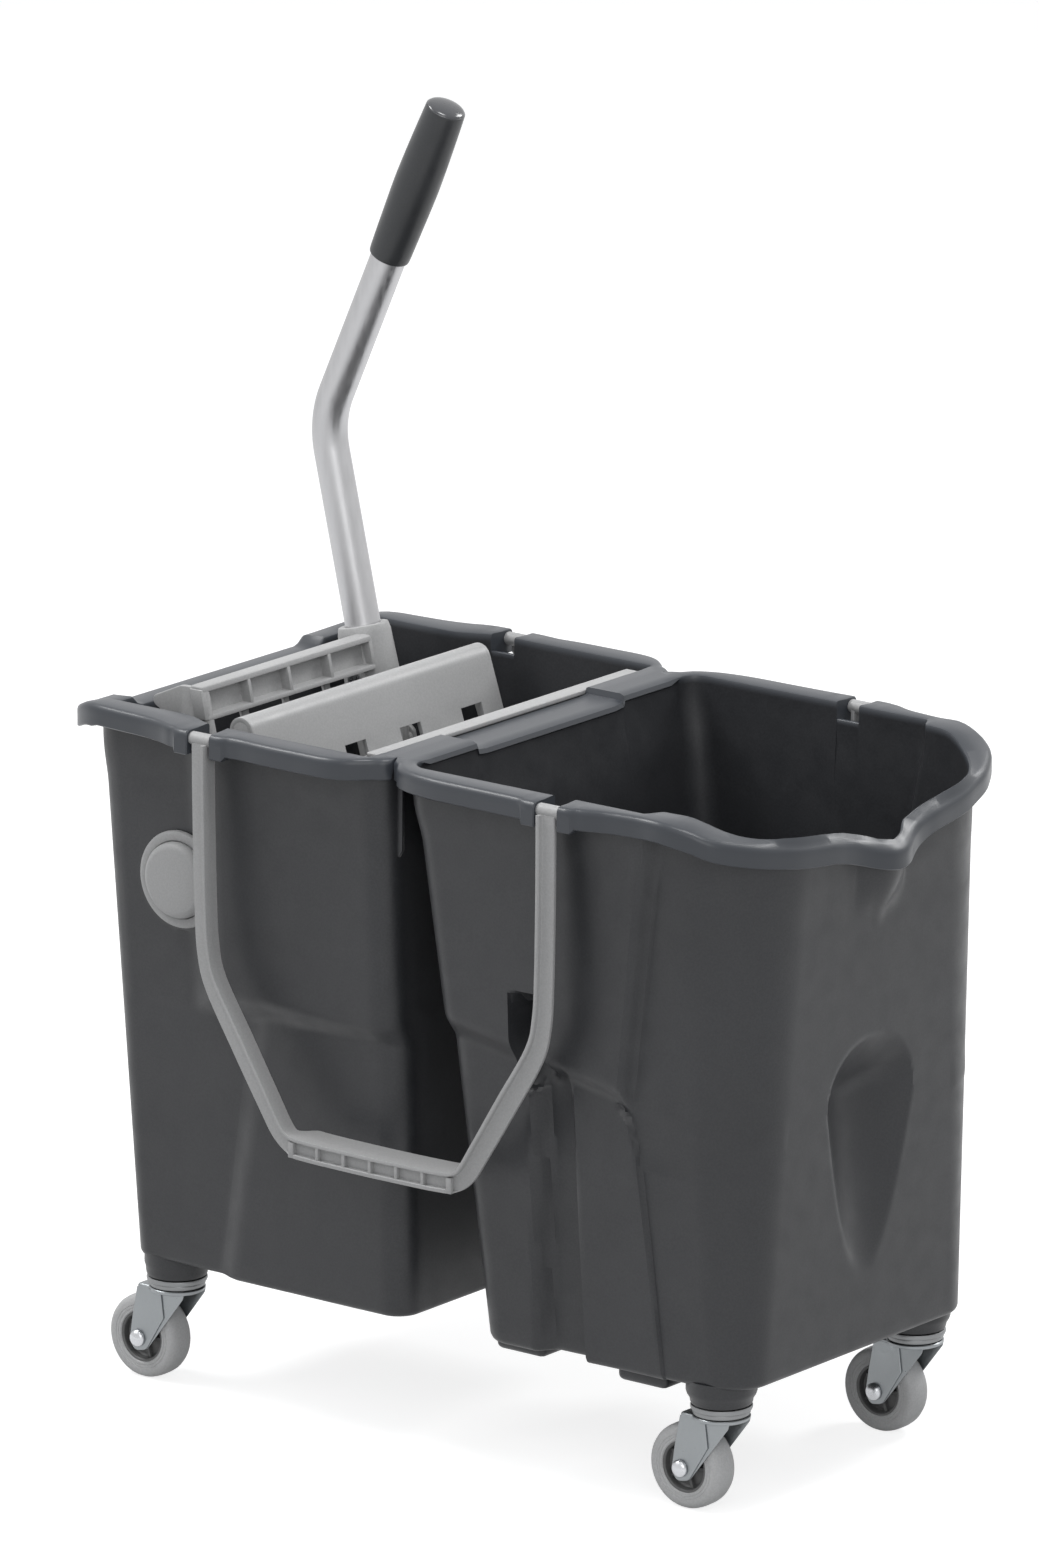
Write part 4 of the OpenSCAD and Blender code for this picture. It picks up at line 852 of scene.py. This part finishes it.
def handleHalf(bm, side):
    shape = handleShape
    outer = smoothLine([(x, z, 0) for x, z in shape["outer"]], 6)
    inner = smoothLine([(x, z, 0) for x, z in shape["inner"]], 6)
    rings = []
    for a, b in zip(outer, inner):
        ring = handleRing(a, b, (a.x + b.x) / 2)
        rings.append([Vector((shape["middleX"] + p.x * side, shape["frontY"] - y, p.y)) for p, y in ring])
    sweep(bm, rings)


def makeHandle(name, front):
    shape = handleShape
    bm = bmesh.new()
    handleHalf(bm, 1)
    handleHalf(bm, -1)
    bmesh.ops.remove_doubles(bm, verts=bm.verts, dist=0.01)
    bmesh.ops.holes_fill(bm, edges=[e for e in bm.edges if e.is_boundary], sides=0)
    pitch = 2 * shape["gripHalf"] / shape["pockets"]
    for i in range(shape["pockets"] + 1):
        x = shape["middleX"] + (i - shape["pockets"] / 2) * pitch
        half = 1.4 if 0 < i < shape["pockets"] else 2.4
        block(bm, (x - half, shape["frontY"] - shape["plateFront"] - 1, shape["gripZ"] + 1.2),
              (x + half, shape["frontY"] - 0.3, shape["gripZ"] + shape["gripHeight"] - 2), 0.5)
    for side in (-1, 1):
        x = shape["middleX"] + side * shape["pinX"]
        middle = Matrix.Translation((x, shape["pinY"], shape["pinZ"]))
        turned = middle @ Matrix.Rotation(math.radians(90), 4, "Y")
        revolve(bm, pinProfile(shape["barrelR"], shape["barrelLength"], 0.7), turned, 32)
        revolve(bm, pinProfile(shape["pinR"], shape["pinLength"], 0.5), turned, 32)
        block(bm, (x - 7, shape["frontY"] - 8.5, 500), (x + 7, shape["frontY"] - 4.2, 510), 1.4, 3)
    if front:
        bmesh.ops.scale(bm, vec=(1, -1, 1), verts=bm.verts)
    finishPiece(bm, name + "_moulding", name, "trim_plastic", (name,))


# The press frame: flanges, cells, cheeks and the lever's socket in one moulding

pressFrame = {
    "topX": -214, "topZ": 526, "lean": 0.227, "half": 112, "depth": 11, "lowZ": 372, "cheekR": 22,
    "cellWalls": (-111, -59.8, -14.7, 31.8, 79.5), "slotHalf": 20.5, "slotLow": 430,
    "backHalf": 81,                 # past it the lever's socket stands free
    "socketR": 18.7, "socketLength": 138, "tubeR": 13.15, "leverY": 95, "leverLean": 12.8,
}


def leverAxis():
    tilt = Matrix.Rotation(math.radians(-pressFrame["leverLean"]), 4, "Y")
    return Matrix.Translation((pivot["x"], pressFrame["leverY"], pivot["z"])) @ tilt


def frameFaceX(z):
    return pressFrame["topX"] + pressFrame["lean"] * (pressFrame["topZ"] - z)


def frameCells(bm, lean):  # flanges, cell walls and the slotted back wall
    shape = pressFrame
    half, depth, top, back = shape["half"], shape["depth"], shape["topZ"], shape["backHalf"]
    low, slotLow = shape["lowZ"], shape["slotLow"]
    block(bm, (0, -half, top - 4.6), (depth, back, top), 1.1, 3, lean)
    block(bm, (0, -half + 1, top - 24.5), (depth, back, top - 21), 0.7, 2, lean)
    block(bm, (depth - 2.6, -half + 1, top - 26), (depth, back, top - 1), 0.6, 2, lean)
    for y in shape["cellWalls"]:
        thick = 1.7 if abs(y) < 100 else 3
        block(bm, (0.15, y - thick, top - 23.5), (depth, y + thick, top - 2), 0.6, 2, lean)
    block(bm, (depth - 3.6, -half + 1, low), (depth, half - 1, slotLow), 0.6, 2, lean)
    edges = [-half + 1]
    for a, b in zip(shape["cellWalls"], shape["cellWalls"][1:]):
        edges += [(a + b) / 2 - shape["slotHalf"], (a + b) / 2 + shape["slotHalf"]]
    edges.append(half - 1)
    for left, right in zip(edges[::2], edges[1::2]):
        block(bm, (depth - 3.6, left, slotLow - 2), (depth, right, top - 24), 0.5, 2, lean)
    for side in (-1, 1):
        front, rear = spanAt(side, half - 9, half)
        rise = top - 0.3 if side < 0 else slotLow + 20
        block(bm, (0.1, front, low + 2), (9, rear, rise), 3.2, 4, lean)


def frameCheeks(bm):
    half, r, px, pz = pressFrame["half"], pressFrame["cheekR"], pivot["x"], pivot["z"]
    turns = [math.radians(a) for a in range(180, 291, 11)]
    arc = [(px + r * math.cos(a), pz + r * math.sin(a), 0) for a in turns]
    tipX = frameFaceX(525)
    cheek = rounded([(frameFaceX(372) - 1, 372, 2), (tipX - 2, 525.2, 1), (tipX - 20, 524.6, 14),
                     (tipX - 46, 513, 5), (tipX - 46, 507, 5), (tipX - 20, 493, 16),
                     (px - 18, pz + 30, 14)] + arc)
    rearCheek = rounded([(frameFaceX(372) - 1, 372, 2), (frameFaceX(440) - 2, 452, 6), (px - 24, 470, 12),
                         (px - 32, 440, 10), (px - 18, pz + 30, 14)] + arc)
    for side, outline in ((-1, cheek), (1, rearCheek)):
        slab(bm, outline, *spanAt(side, half - 4, half), standing, 0.9, 3)
        revolve(bm, bushProfile(6.1, 14, 16, 0.8), facing(px, side * (half - 10), pz, side))


def makePressFrame():
    shape = pressFrame
    bm = bmesh.new()
    start = shape["topX"] + shape["lean"] * shape["topZ"]
    frameCells(bm, Matrix(((-1, 0, -shape["lean"], start), (0, 1, 0, 0), (0, 0, 1, 0), (0, 0, 0, 1))))
    frameCheeks(bm)
    r, length, bore = shape["socketR"], shape["socketLength"], shape["tubeR"]
    profile = [(0, -6), (r - 2, -6), (r, -4), (r, 40), (r + 2.4, 90), (r + 1, length - 6), (r, length - 1.4),
               (r - 0.45, length - 0.4), (r - 1.4, length), (bore + 1, length), (bore + 0.2, length - 0.5),
               (bore + 0.05, length - 2), (bore + 0.05, 60), (0, 60)]
    revolve(bm, profile, leverAxis(), 64)
    finishPiece(bm, "press_frame_moulding", "press_lever", "wringer_plastic", ("press_frame",))


# Sheets with drain holes: the press plate and the fixed sieve

drain = {"columns": (-102.5, -31.5, 31.5, 102.5), "halfWidth": 11.75, "topZ": 481, "height": 11, "pitch": 34}


def holeEdges(rows):
    out = []
    for row in range(rows):
        high = drain["topZ"] - row * drain["pitch"]
        out += [high, high - drain["height"]]
    return out


def punchedSheet(bm, path, half, rows, thickness):
    # A sheet along a path of (x, z) points, with rows of drain holes
    stops = sorted({-half, half, -half + 1, half - 1, -67, 0, 67}
                   | {y + s * drain["halfWidth"] for y in drain["columns"] for s in (-1, 1)})
    old = set(bm.verts)
    gridSurface(bm, len(stops) - 1, len(path) - 1, lambda c, r: Vector((path[r][0], stops[c], path[r][1])))
    sheet = made(bm, old)
    holes = []
    edges = holeEdges(rows)
    own = set(sheet)
    faces = [f for f in bm.faces if own.issuperset(f.verts)]
    for face in faces:
        middle = face.calc_center_median()
        acrossHole = any(abs(middle.y - y) < drain["halfWidth"] for y in drain["columns"])
        if acrossHole and any(low < middle.z < high for high, low in zip(edges[::2], edges[1::2])):
            holes.append(face)
    bmesh.ops.delete(bm, geom=holes, context="FACES")
    faces = [f for f in faces if f.is_valid]
    front = faces[-1].normal.x  # the last face lies on the flat sheet
    bmesh.ops.solidify(bm, geom=faces, thickness=thickness if front > 0 else -thickness)
    soften(bm, [v for v in made(bm, old) if v.is_valid], 0.45, 2, 60)


pressPlate = {"half": 137, "faceX": -146.7, "topZ": 518, "rollR": 10.6, "foot": (-75, 286), "sheet": 3.6,
              "rows": 5}


def makePressPlate():
    shape = pressPlate
    bm = bmesh.new()
    r = shape["rollR"]
    rollX, rollZ = shape["faceX"] - r, shape["topZ"] - r
    footX, footZ = shape["foot"]
    lean = (footX + 1.5 - shape["faceX"]) / (shape["topZ"] - 9 - footZ)
    tangent = math.degrees(math.atan(lean))
    angles = [180 - (180 - tangent) * i / 18 for i in range(19)]
    roll = [(rollX + r * math.cos(math.radians(a)), rollZ + r * math.sin(math.radians(a))) for a in angles]
    faceTop = roll[-1]
    heights = [503, 497, 490] + holeEdges(shape["rows"]) + [footZ + 30, footZ + 12, footZ + 4]
    face = [(faceTop[0] + lean * (faceTop[1] - z), z) for z in sorted(heights, reverse=True)]
    start = rollX - r
    path = [(start + 4, rollZ - 16), (start + 1.4, rollZ - 6), (start + 0.2, rollZ - 2)] + roll + face
    punchedSheet(bm, path, shape["half"], shape["rows"], shape["sheet"])
    cap = [(x + 0.2, z - 0.1, 0) for x, z in roll] + [(footX, footZ, 0), (footX - 9, footZ, 0)]
    cap += [(start + 2, rollZ - 20, 4), (start + 0.3, rollZ - 10, 0)]
    for side in (-1, 1):
        slab(bm, rounded(cap), *spanAt(side, shape["half"] - 3.4, shape["half"] - 0.1), standing, 0.8, 3)
    revolve(bm, bushProfile(4.05, 9, 2 * shape["half"], 0.7), facing(footX, -shape["half"], footZ, 1))
    finishPiece(bm, "press_plate_moulding", "press_plate", "wringer_plastic", ("press_plate",))


sieve = {"half": 142, "stripHalf": 150, "topX": -28.6, "footX": -41.4, "faceZ": 505, "floorZ": 273,
         "backX": -89, "rows": 6, "sheet": 3.6}


def makeSieve():
    half, floorZ, backX, sheet = sieve["half"], sieve["floorZ"], sieve["backX"], sieve["sheet"]
    topX, footX, faceZ = sieve["topX"], sieve["footX"], sieve["faceZ"]
    bm = bmesh.new()
    block(bm, (-31.6, -sieve["stripHalf"], 512.4), (-18, sieve["stripHalf"], 516), 0.9, 3)
    path = [(-28, 514.5), (topX, faceZ), (-29.5, 492)]
    path += [(mix(topX, footX, (faceZ - z) / (faceZ - floorZ)), z) for z in holeEdges(sieve["rows"])]
    path += [(-41, 282), (footX, floorZ)]
    punchedSheet(bm, path, half, sieve["rows"], sheet)
    block(bm, (backX, -half, floorZ), (-42, half, floorZ + sheet), 0.6)
    block(bm, (backX + 0.3, -half + 0.2, floorZ + 0.3), (-85.4, half - 0.2, 281), 0.6)
    ear = rounded([(backX, floorZ, 2), (-43, floorZ, 2), (-35, 383, 5), (-42, 393, 5), (backX, 307, 8)])
    for side in (-1, 1):
        slab(bm, ear, *spanAt(side, 137.6, half), standing, 0.6)
    finishPiece(bm, "sieve_moulding", "trolley", "wringer_plastic", ("fixed_sieve",))


# The lever: bent tube, grip and its glossy end

lever = {"tubeR": 13.15, "tubeWall": 2, "start": 54, "corner": 290.8, "bend": 37.3, "bendR": 70, "upper": 143,
         "gripLength": 131, "sides": 56}


def upperAxis():
    bend = Matrix.Rotation(math.radians(lever["bend"]), 4, "Y")
    return leverAxis() @ Matrix.Translation((0, 0, lever["corner"])) @ bend


def makeTube():
    bm = bmesh.new()
    start, corner, bendR = lever["start"], lever["corner"], lever["bendR"]
    cut = bendR * math.tan(math.radians(lever["bend"] / 2))
    end = lever["upper"] + lever["gripLength"] - 20
    heights = [start + (corner - cut - start) * i / 8 for i in range(9)]
    stations = [leverAxis() @ Matrix.Translation((0, 0, z)) for z in heights]
    centre = leverAxis() @ Matrix.Translation((bendR, 0, corner - cut))
    for i in range(1, 21):
        turn = Matrix.Rotation(math.radians(lever["bend"] * i / 20), 4, "Y")
        stations.append(centre @ turn @ Matrix.Translation((-bendR, 0, 0)))
    stations += [upperAxis() @ Matrix.Translation((0, 0, cut + (end - cut) * i / 8)) for i in range(1, 9)]
    turns = [2 * math.pi * i / lever["sides"] for i in range(lever["sides"])]

    def rings(radius, places):
        return [[m @ Vector((radius * math.cos(a), radius * math.sin(a), 0)) for a in turns] for m in places]

    outer = rings(lever["tubeR"], stations)
    inner = rings(lever["tubeR"] - lever["tubeWall"], stations[::-1])
    sweep(bm, outer + inner + outer[:1])
    finishPiece(bm, "lever_tube_drawn", "press_lever", "lever_aluminium", ("lever_tube",))


def makeGrip():
    start, length = lever["upper"], lever["gripLength"]
    side = smoothLine([(15.2, 1.6, 0), (15.5, 8, 0), (16.1, 30, 0), (16.75, 58, 0), (16.6, 76, 0),
                       (15.9, 100, 0), (15.1, 120, 0), (14.75, length - 4.4, 0)], 5)
    profile = [(13.2, 40), (13.2, 0.6), (13.6, 0), (14.3, 0), (14.9, 0.4)] + [(p.x, p.y) for p in side]
    profile += [(14.6, length - 3.7), (14.2, length - 3.4), (13.2, length - 3.4)]
    bm = bmesh.new()
    revolve(bm, [(r, start + z) for r, z in profile] + [(13.2, start + 40)], upperAxis(), 72)
    finishPiece(bm, "lever_grip_sleeve", "press_lever", "grip_plastic", ("lever_grip",))
    rimZ = length - 3.5
    turns = [math.pi / 2 * i / 12 for i in range(1, 12)]
    dome = [(0, rimZ - 2.5), (13, rimZ - 1.5), (14, rimZ - 1.1), (14.25, rimZ)]
    dome += [(14.1 * math.cos(a), rimZ + 3.5 * math.sin(a)) for a in turns] + [(0, length)]
    bm = bmesh.new()
    revolve(bm, [(r, start + z) for r, z in dome], upperAxis(), 72)
    finishPiece(bm, "lever_grip_end", "press_lever", "grip_plastic", finish="grip_gloss", smoothAngle=50)


# The wringer's pivots: a round cover plate and a domed cap on each side

def makePivot(name, side):
    place = facing(pivot["x"], side * pivot["seatY"], pivot["z"], side)
    r, t, c, h = pivot["ringR"], pivot["ringT"], pivot["capR"], pivot["capH"]
    bm = bmesh.new()
    revolve(bm, [(6, 0), (r - 0.4, 0), (r, 0.4), (r, t - 2), (r - 0.5, t - 0.7), (r - 1.6, t - 0.1),
                 (r - 2.6, t), (c + 1.5, t), (c + 0.8, t - 0.3), (c + 0.5, t - 1), (c + 0.5, 1), (6, 1),
                 (6, 0)], place, 80)
    finishPiece(bm, name + "_pivot_cover", "trolley", "trim_plastic", (name + "_pivot_ring",))
    turns = [math.pi / 2 * i / 8 for i in range(9)]
    edge = [(c - 5.5 * (1 - math.cos(a)), t + h - 5.5 + 5.2 * math.sin(a)) for a in turns]
    bm = bmesh.new()
    revolve(bm, [(0, 1.1), (c, 1.1)] + edge + [(c * 0.5, t + h), (0, t + h)], place, 80)
    finishPiece(bm, name + "_pivot_dome", "trolley", "trim_plastic", (name + "_pivot_cap",))


# Casters, drawn at the swivel axis on the floor

def makeRaceway(name, place):
    z, r = caster["raceZ"], caster["raceR"]
    bm = bmesh.new()
    revolve(bm, [(5, z), (r - 2.6, z), (r - 1.8, z + 0.5), (r - 1.3, z + 1.6), (r - 1.2, z + 3),
                 (r - 1.5, z + 3.7), (r - 0.2, z + 4.2), (r + 0.2, z + 5.2), (r + 0.3, z + 6.4), (r, z + 7.4),
                 (r - 1, z + 8), (5, z + 8), (5, z)], place, 64)
    finishPiece(bm, name + "_raceway_rings", "trolley", "zinc_steel", (name + "_raceway",), "dull_zinc")


def makeFork(name, place):
    z, t, out, inside = caster["forkZ"], caster["forkT"], caster["forkHalf"], caster["forkIn"]
    bm = bmesh.new()
    old = set(bm.verts)
    block(bm, (-26.5, -out, z - 4.8), (-4.4, out, z), 2.7, 5)
    block(bm, (-8, -out + 1, z - t), (14, out - 1, z), 0.9, 2)
    revolve(bm, [(5.05, z - t), (19.5, z - t - 1.2), (20.6, z - t - 0.6), (20.9, z - 0.6), (20.2, z),
                 (5.05, z), (5.05, z - t)], Matrix(), 56)
    wheelX, wheelZ = -caster["trail"], caster["wheelR"]
    foot = [(wheelX + 7, wheelZ - 8.2, 7), (wheelX - 4.5, wheelZ - 10.5, 6), (wheelX - 8.2, wheelZ - 1, 7)]
    plate = rounded([(-25.8, z - 0.6, 1), (17, z - 0.6, 2), (15.5, z - 6, 3)] + foot
                    + [(wheelX - 5, wheelZ + 16, 20)])
    leg = rounded([(-26.4, z - 2.5, 1.5), (-4.4, z - 2.5, 1), (-1.8, 50.4, 1)] + foot
                  + [(wheelX - 5.6, wheelZ + 16, 20)])
    for side in (-1, 1):
        slab(bm, plate, *spanAt(side, inside, out - 1.5), standing, 0.5, 2)
        slab(bm, leg, *spanAt(side, inside + 0.2, out), standing, 1.1, 3)
    bmesh.ops.transform(bm, matrix=place, verts=made(bm, old))
    finishPiece(bm, name + "_fork_pressed", name + "_swivel", "zinc_steel", (name + "_fork",))


def makeWheel(name, place):
    axle = place @ facing(-caster["trail"], 0, caster["wheelR"], 1)
    r, half, hubR, bore = caster["wheelR"], caster["tyreHalf"], caster["hubR"], caster["axleR"] + 0.05
    side = [(hubR, half - 0.6), (hubR + 0.7, half), (hubR + 2.2, half), (hubR + 2.5, half - 0.35),
            (hubR + 2.8, half), (hubR + 4.4, half), (hubR + 4.7, half - 0.35), (hubR + 5, half),
            (r - 5, half), (r - 3, half - 0.5), (r - 1.5, half - 1.7), (r - 0.5, half - 4),
            (r - 0.1, half - 7), (r, 0)]
    profile = [(x, -z) for x, z in side] + side[::-1][1:]
    bm = bmesh.new()
    revolve(bm, profile + [(hubR, -half + 0.6)], axle, 80)
    finishPiece(bm, name + "_tyre_ring", name + "_wheel", "tyre_rubber", (name + "_tyre",))
    dish = [(bore, 11.9), (6.6, 11.9), (7.2, 11.3), (8, 4.5), (9, 4), (hubR - 4, 4), (hubR - 2.6, 5),
            (hubR - 2, 9.6), (hubR - 1.4, 10.2), (hubR, 10.2)]
    bm = bmesh.new()
    revolve(bm, [(x, -z) for x, z in dish] + dish[::-1] + [(bore, -11.9)], axle, 64)
    for i in range(5):
        spin = Matrix.Rotation(2 * math.pi * i / 5, 4, "Z")
        for z0, z1 in ((3.5, 7.2), (-7.2, -3.5)):
            block(bm, (7, -1.1, z0), (hubR - 2.2, 1.1, z1), 0.4, 2, axle @ spin)
    finishPiece(bm, name + "_hub_core", name + "_wheel", "hub_plastic", (name + "_hub",))


def makeBolt(name, place):
    head = place @ facing(-caster["trail"], -caster["forkHalf"], caster["wheelR"], -1)
    r, shank = caster["axleR"], 2 * caster["forkHalf"] + 5
    turns = [math.pi / 2 * i / 10 for i in range(10)]
    dome = [(6.5 * math.cos(a), 1 + 4 * math.sin(a)) for a in turns] + [(0, 5)]
    bm = bmesh.new()
    stem = [(0, -shank), (r - 0.5, -shank), (r, -shank + 0.5), (r, 0), (6.1, 0), (6.5, 0.4)]
    revolve(bm, stem + dome, head, 48)
    finishPiece(bm, name + "_axle_bolt_domed", name + "_swivel", "bright_steel", (name + "_axle_bolt",))


def makeCasters():
    for end, x in (("left", caster["left"]), ("right", caster["right"])):
        for row, y in (("front", -caster["y"]), ("rear", caster["y"])):
            name = row + "_" + end
            place = Matrix.Translation((x, y, 0))
            makeRaceway(name, place)
            makeFork(name, place)
            makeWheel(name, place)
            makeBolt(name, place)


makeHandle("front_handle", True)
makeHandle("rear_handle", False)
makePressFrame()
makePressPlate()
makeSieve()
makeTube()
makeGrip()
makePivot("front", -1)
makePivot("rear", 1)
makeCasters()
print("pieces made")


# Nodes that keep their own mesh: pins, axles, nuts and the screw, all of steel

steelNodes = ("pivot_axle", "press_plate_pin", "lever_screw", "kingpin", "axle_nut")


def dressNodes():
    for name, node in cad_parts.items():
        if name.endswith(steelNodes):
            node.data.materials.clear()
            node.data.materials.append(materials["bright_steel"])


dressNodes()
print("nodes dressed")


# Floor, light and camera

studio = {
    "aim": ((dividerX - 11.9) * millimetre, 0.0, 0.4717), "azimuth": 38.29, "elevation": 15.02,
    "distance": 9.906, "lens": 321.5,
    "floorColour": (0.46, 0.46, 0.46), "floorSize": 16, "floorLift": 0.8,
    "skyColour": (0.9, 0.93, 0.97), "skyLevel": 0.33,
}
lamps = {  # place, size and power of each
    "leftEdgeLamp": ((-1.8, -0.78, 2.78), (0.95, 0.95), 42),
    "overheadLamp": ((0.79, -0.31, 3.38), (0.95, 0.95), 34),
    "backEdgeLamp": ((0.78, 2.27, 2.3), (0.95, 0.95), 34),
    "keyLamp": ((2.0, -2.2, 1.8), (1.8, 1.8), 22),
    "fillLamp": ((-2.0, -2.0, 2.6), (1.4, 1.6), 15),
}


def seenRays(tree):  # 1 for the rays of the camera, of gloss and of glass
    path = tree.nodes.new("ShaderNodeLightPath")
    both = tree.nodes.new("ShaderNodeMath")
    both.operation = "MAXIMUM"
    every = tree.nodes.new("ShaderNodeMath")
    every.operation = "MAXIMUM"
    tree.links.new(path.outputs["Is Camera Ray"], both.inputs[0])
    tree.links.new(path.outputs["Is Glossy Ray"], both.inputs[1])
    tree.links.new(both.outputs["Value"], every.inputs[0])
    tree.links.new(path.outputs["Is Transmission Ray"], every.inputs[1])
    return every.outputs["Value"]


def makeFloor():
    bm = bmesh.new()
    bmesh.ops.create_grid(bm, x_segments=1, y_segments=1, size=studio["floorSize"] / 2)
    mesh = bpy.data.meshes.new("studioFloor")
    bm.to_mesh(mesh)
    bm.free()
    floor = bpy.data.objects.new("studioFloor", mesh)
    bpy.context.scene.collection.objects.link(floor)
    material = bpy.data.materials.new("paleFloor")
    material.use_nodes = True
    tree = material.node_tree
    shader = tree.nodes["Principled BSDF"]
    shader.inputs["Base Color"].default_value = (*studio["floorColour"], 1)
    shader.inputs["Roughness"].default_value = 0.8
    shader.inputs["Specular IOR Level"].default_value = 0.1
    glow = tree.nodes.new("ShaderNodeEmission")
    glow.inputs["Color"].default_value = (1, 1, 1, 1)
    lift = tree.nodes.new("ShaderNodeMath")
    lift.operation = "MULTIPLY"
    lift.inputs[1].default_value = studio["floorLift"]
    tree.links.new(seenRays(tree), lift.inputs[0])
    tree.links.new(lift.outputs["Value"], glow.inputs["Strength"])
    total = tree.nodes.new("ShaderNodeAddShader")
    tree.links.new(shader.outputs["BSDF"], total.inputs[0])
    tree.links.new(glow.outputs["Emission"], total.inputs[1])
    tree.links.new(total.outputs["Shader"], tree.nodes["Material Output"].inputs["Surface"])
    mesh.materials.append(material)


def makeWorld():
    world = bpy.data.worlds.new("studioWorld")
    bpy.context.scene.world = world
    world.use_nodes = True
    tree = world.node_tree
    background = tree.nodes["Background"]
    background.inputs["Color"].default_value = (*studio["skyColour"], 1)
    background.inputs["Strength"].default_value = studio["skyLevel"]
    bright = tree.nodes.new("ShaderNodeBackground")
    bright.inputs["Color"].default_value = (1, 1, 1, 1)
    bright.inputs["Strength"].default_value = 1
    blend = tree.nodes.new("ShaderNodeMixShader")
    tree.links.new(seenRays(tree), blend.inputs["Fac"])
    tree.links.new(background.outputs["Background"], blend.inputs[1])
    tree.links.new(bright.outputs["Background"], blend.inputs[2])
    tree.links.new(blend.outputs["Shader"], tree.nodes["World Output"].inputs["Surface"])


def makeLamp(name, place, size, power):
    lamp = bpy.data.lights.new(name, "AREA")
    lamp.shape = "RECTANGLE"
    lamp.size, lamp.size_y = size
    lamp.energy = power
    holder = bpy.data.objects.new(name, lamp)
    holder.location = place
    holder.rotation_euler = (Vector(studio["aim"]) - Vector(place)).to_track_quat("-Z", "Y").to_euler()
    bpy.context.scene.collection.objects.link(holder)


def makeCamera():
    camera = bpy.data.cameras.new("studioCamera")
    camera.lens = studio["lens"]
    camera.sensor_width = 36
    camera.clip_end = 100
    holder = bpy.data.objects.new("studioCamera", camera)
    azimuth = math.radians(studio["azimuth"])
    elevation = math.radians(studio["elevation"])
    away = Vector((math.sin(azimuth) * math.cos(elevation), -math.cos(azimuth) * math.cos(elevation),
                   math.sin(elevation)))
    aim = Vector(studio["aim"])
    holder.location = aim + away * studio["distance"]
    holder.rotation_euler = (-away).to_track_quat("-Z", "Y").to_euler()
    bpy.context.scene.collection.objects.link(holder)
    bpy.context.scene.camera = holder


makeFloor()
makeWorld()
for lampName, (place, size, power) in lamps.items():
    makeLamp(lampName, place, size, power)
makeCamera()
bpy.context.scene.view_settings.view_transform = "Standard"
print("studio ready")
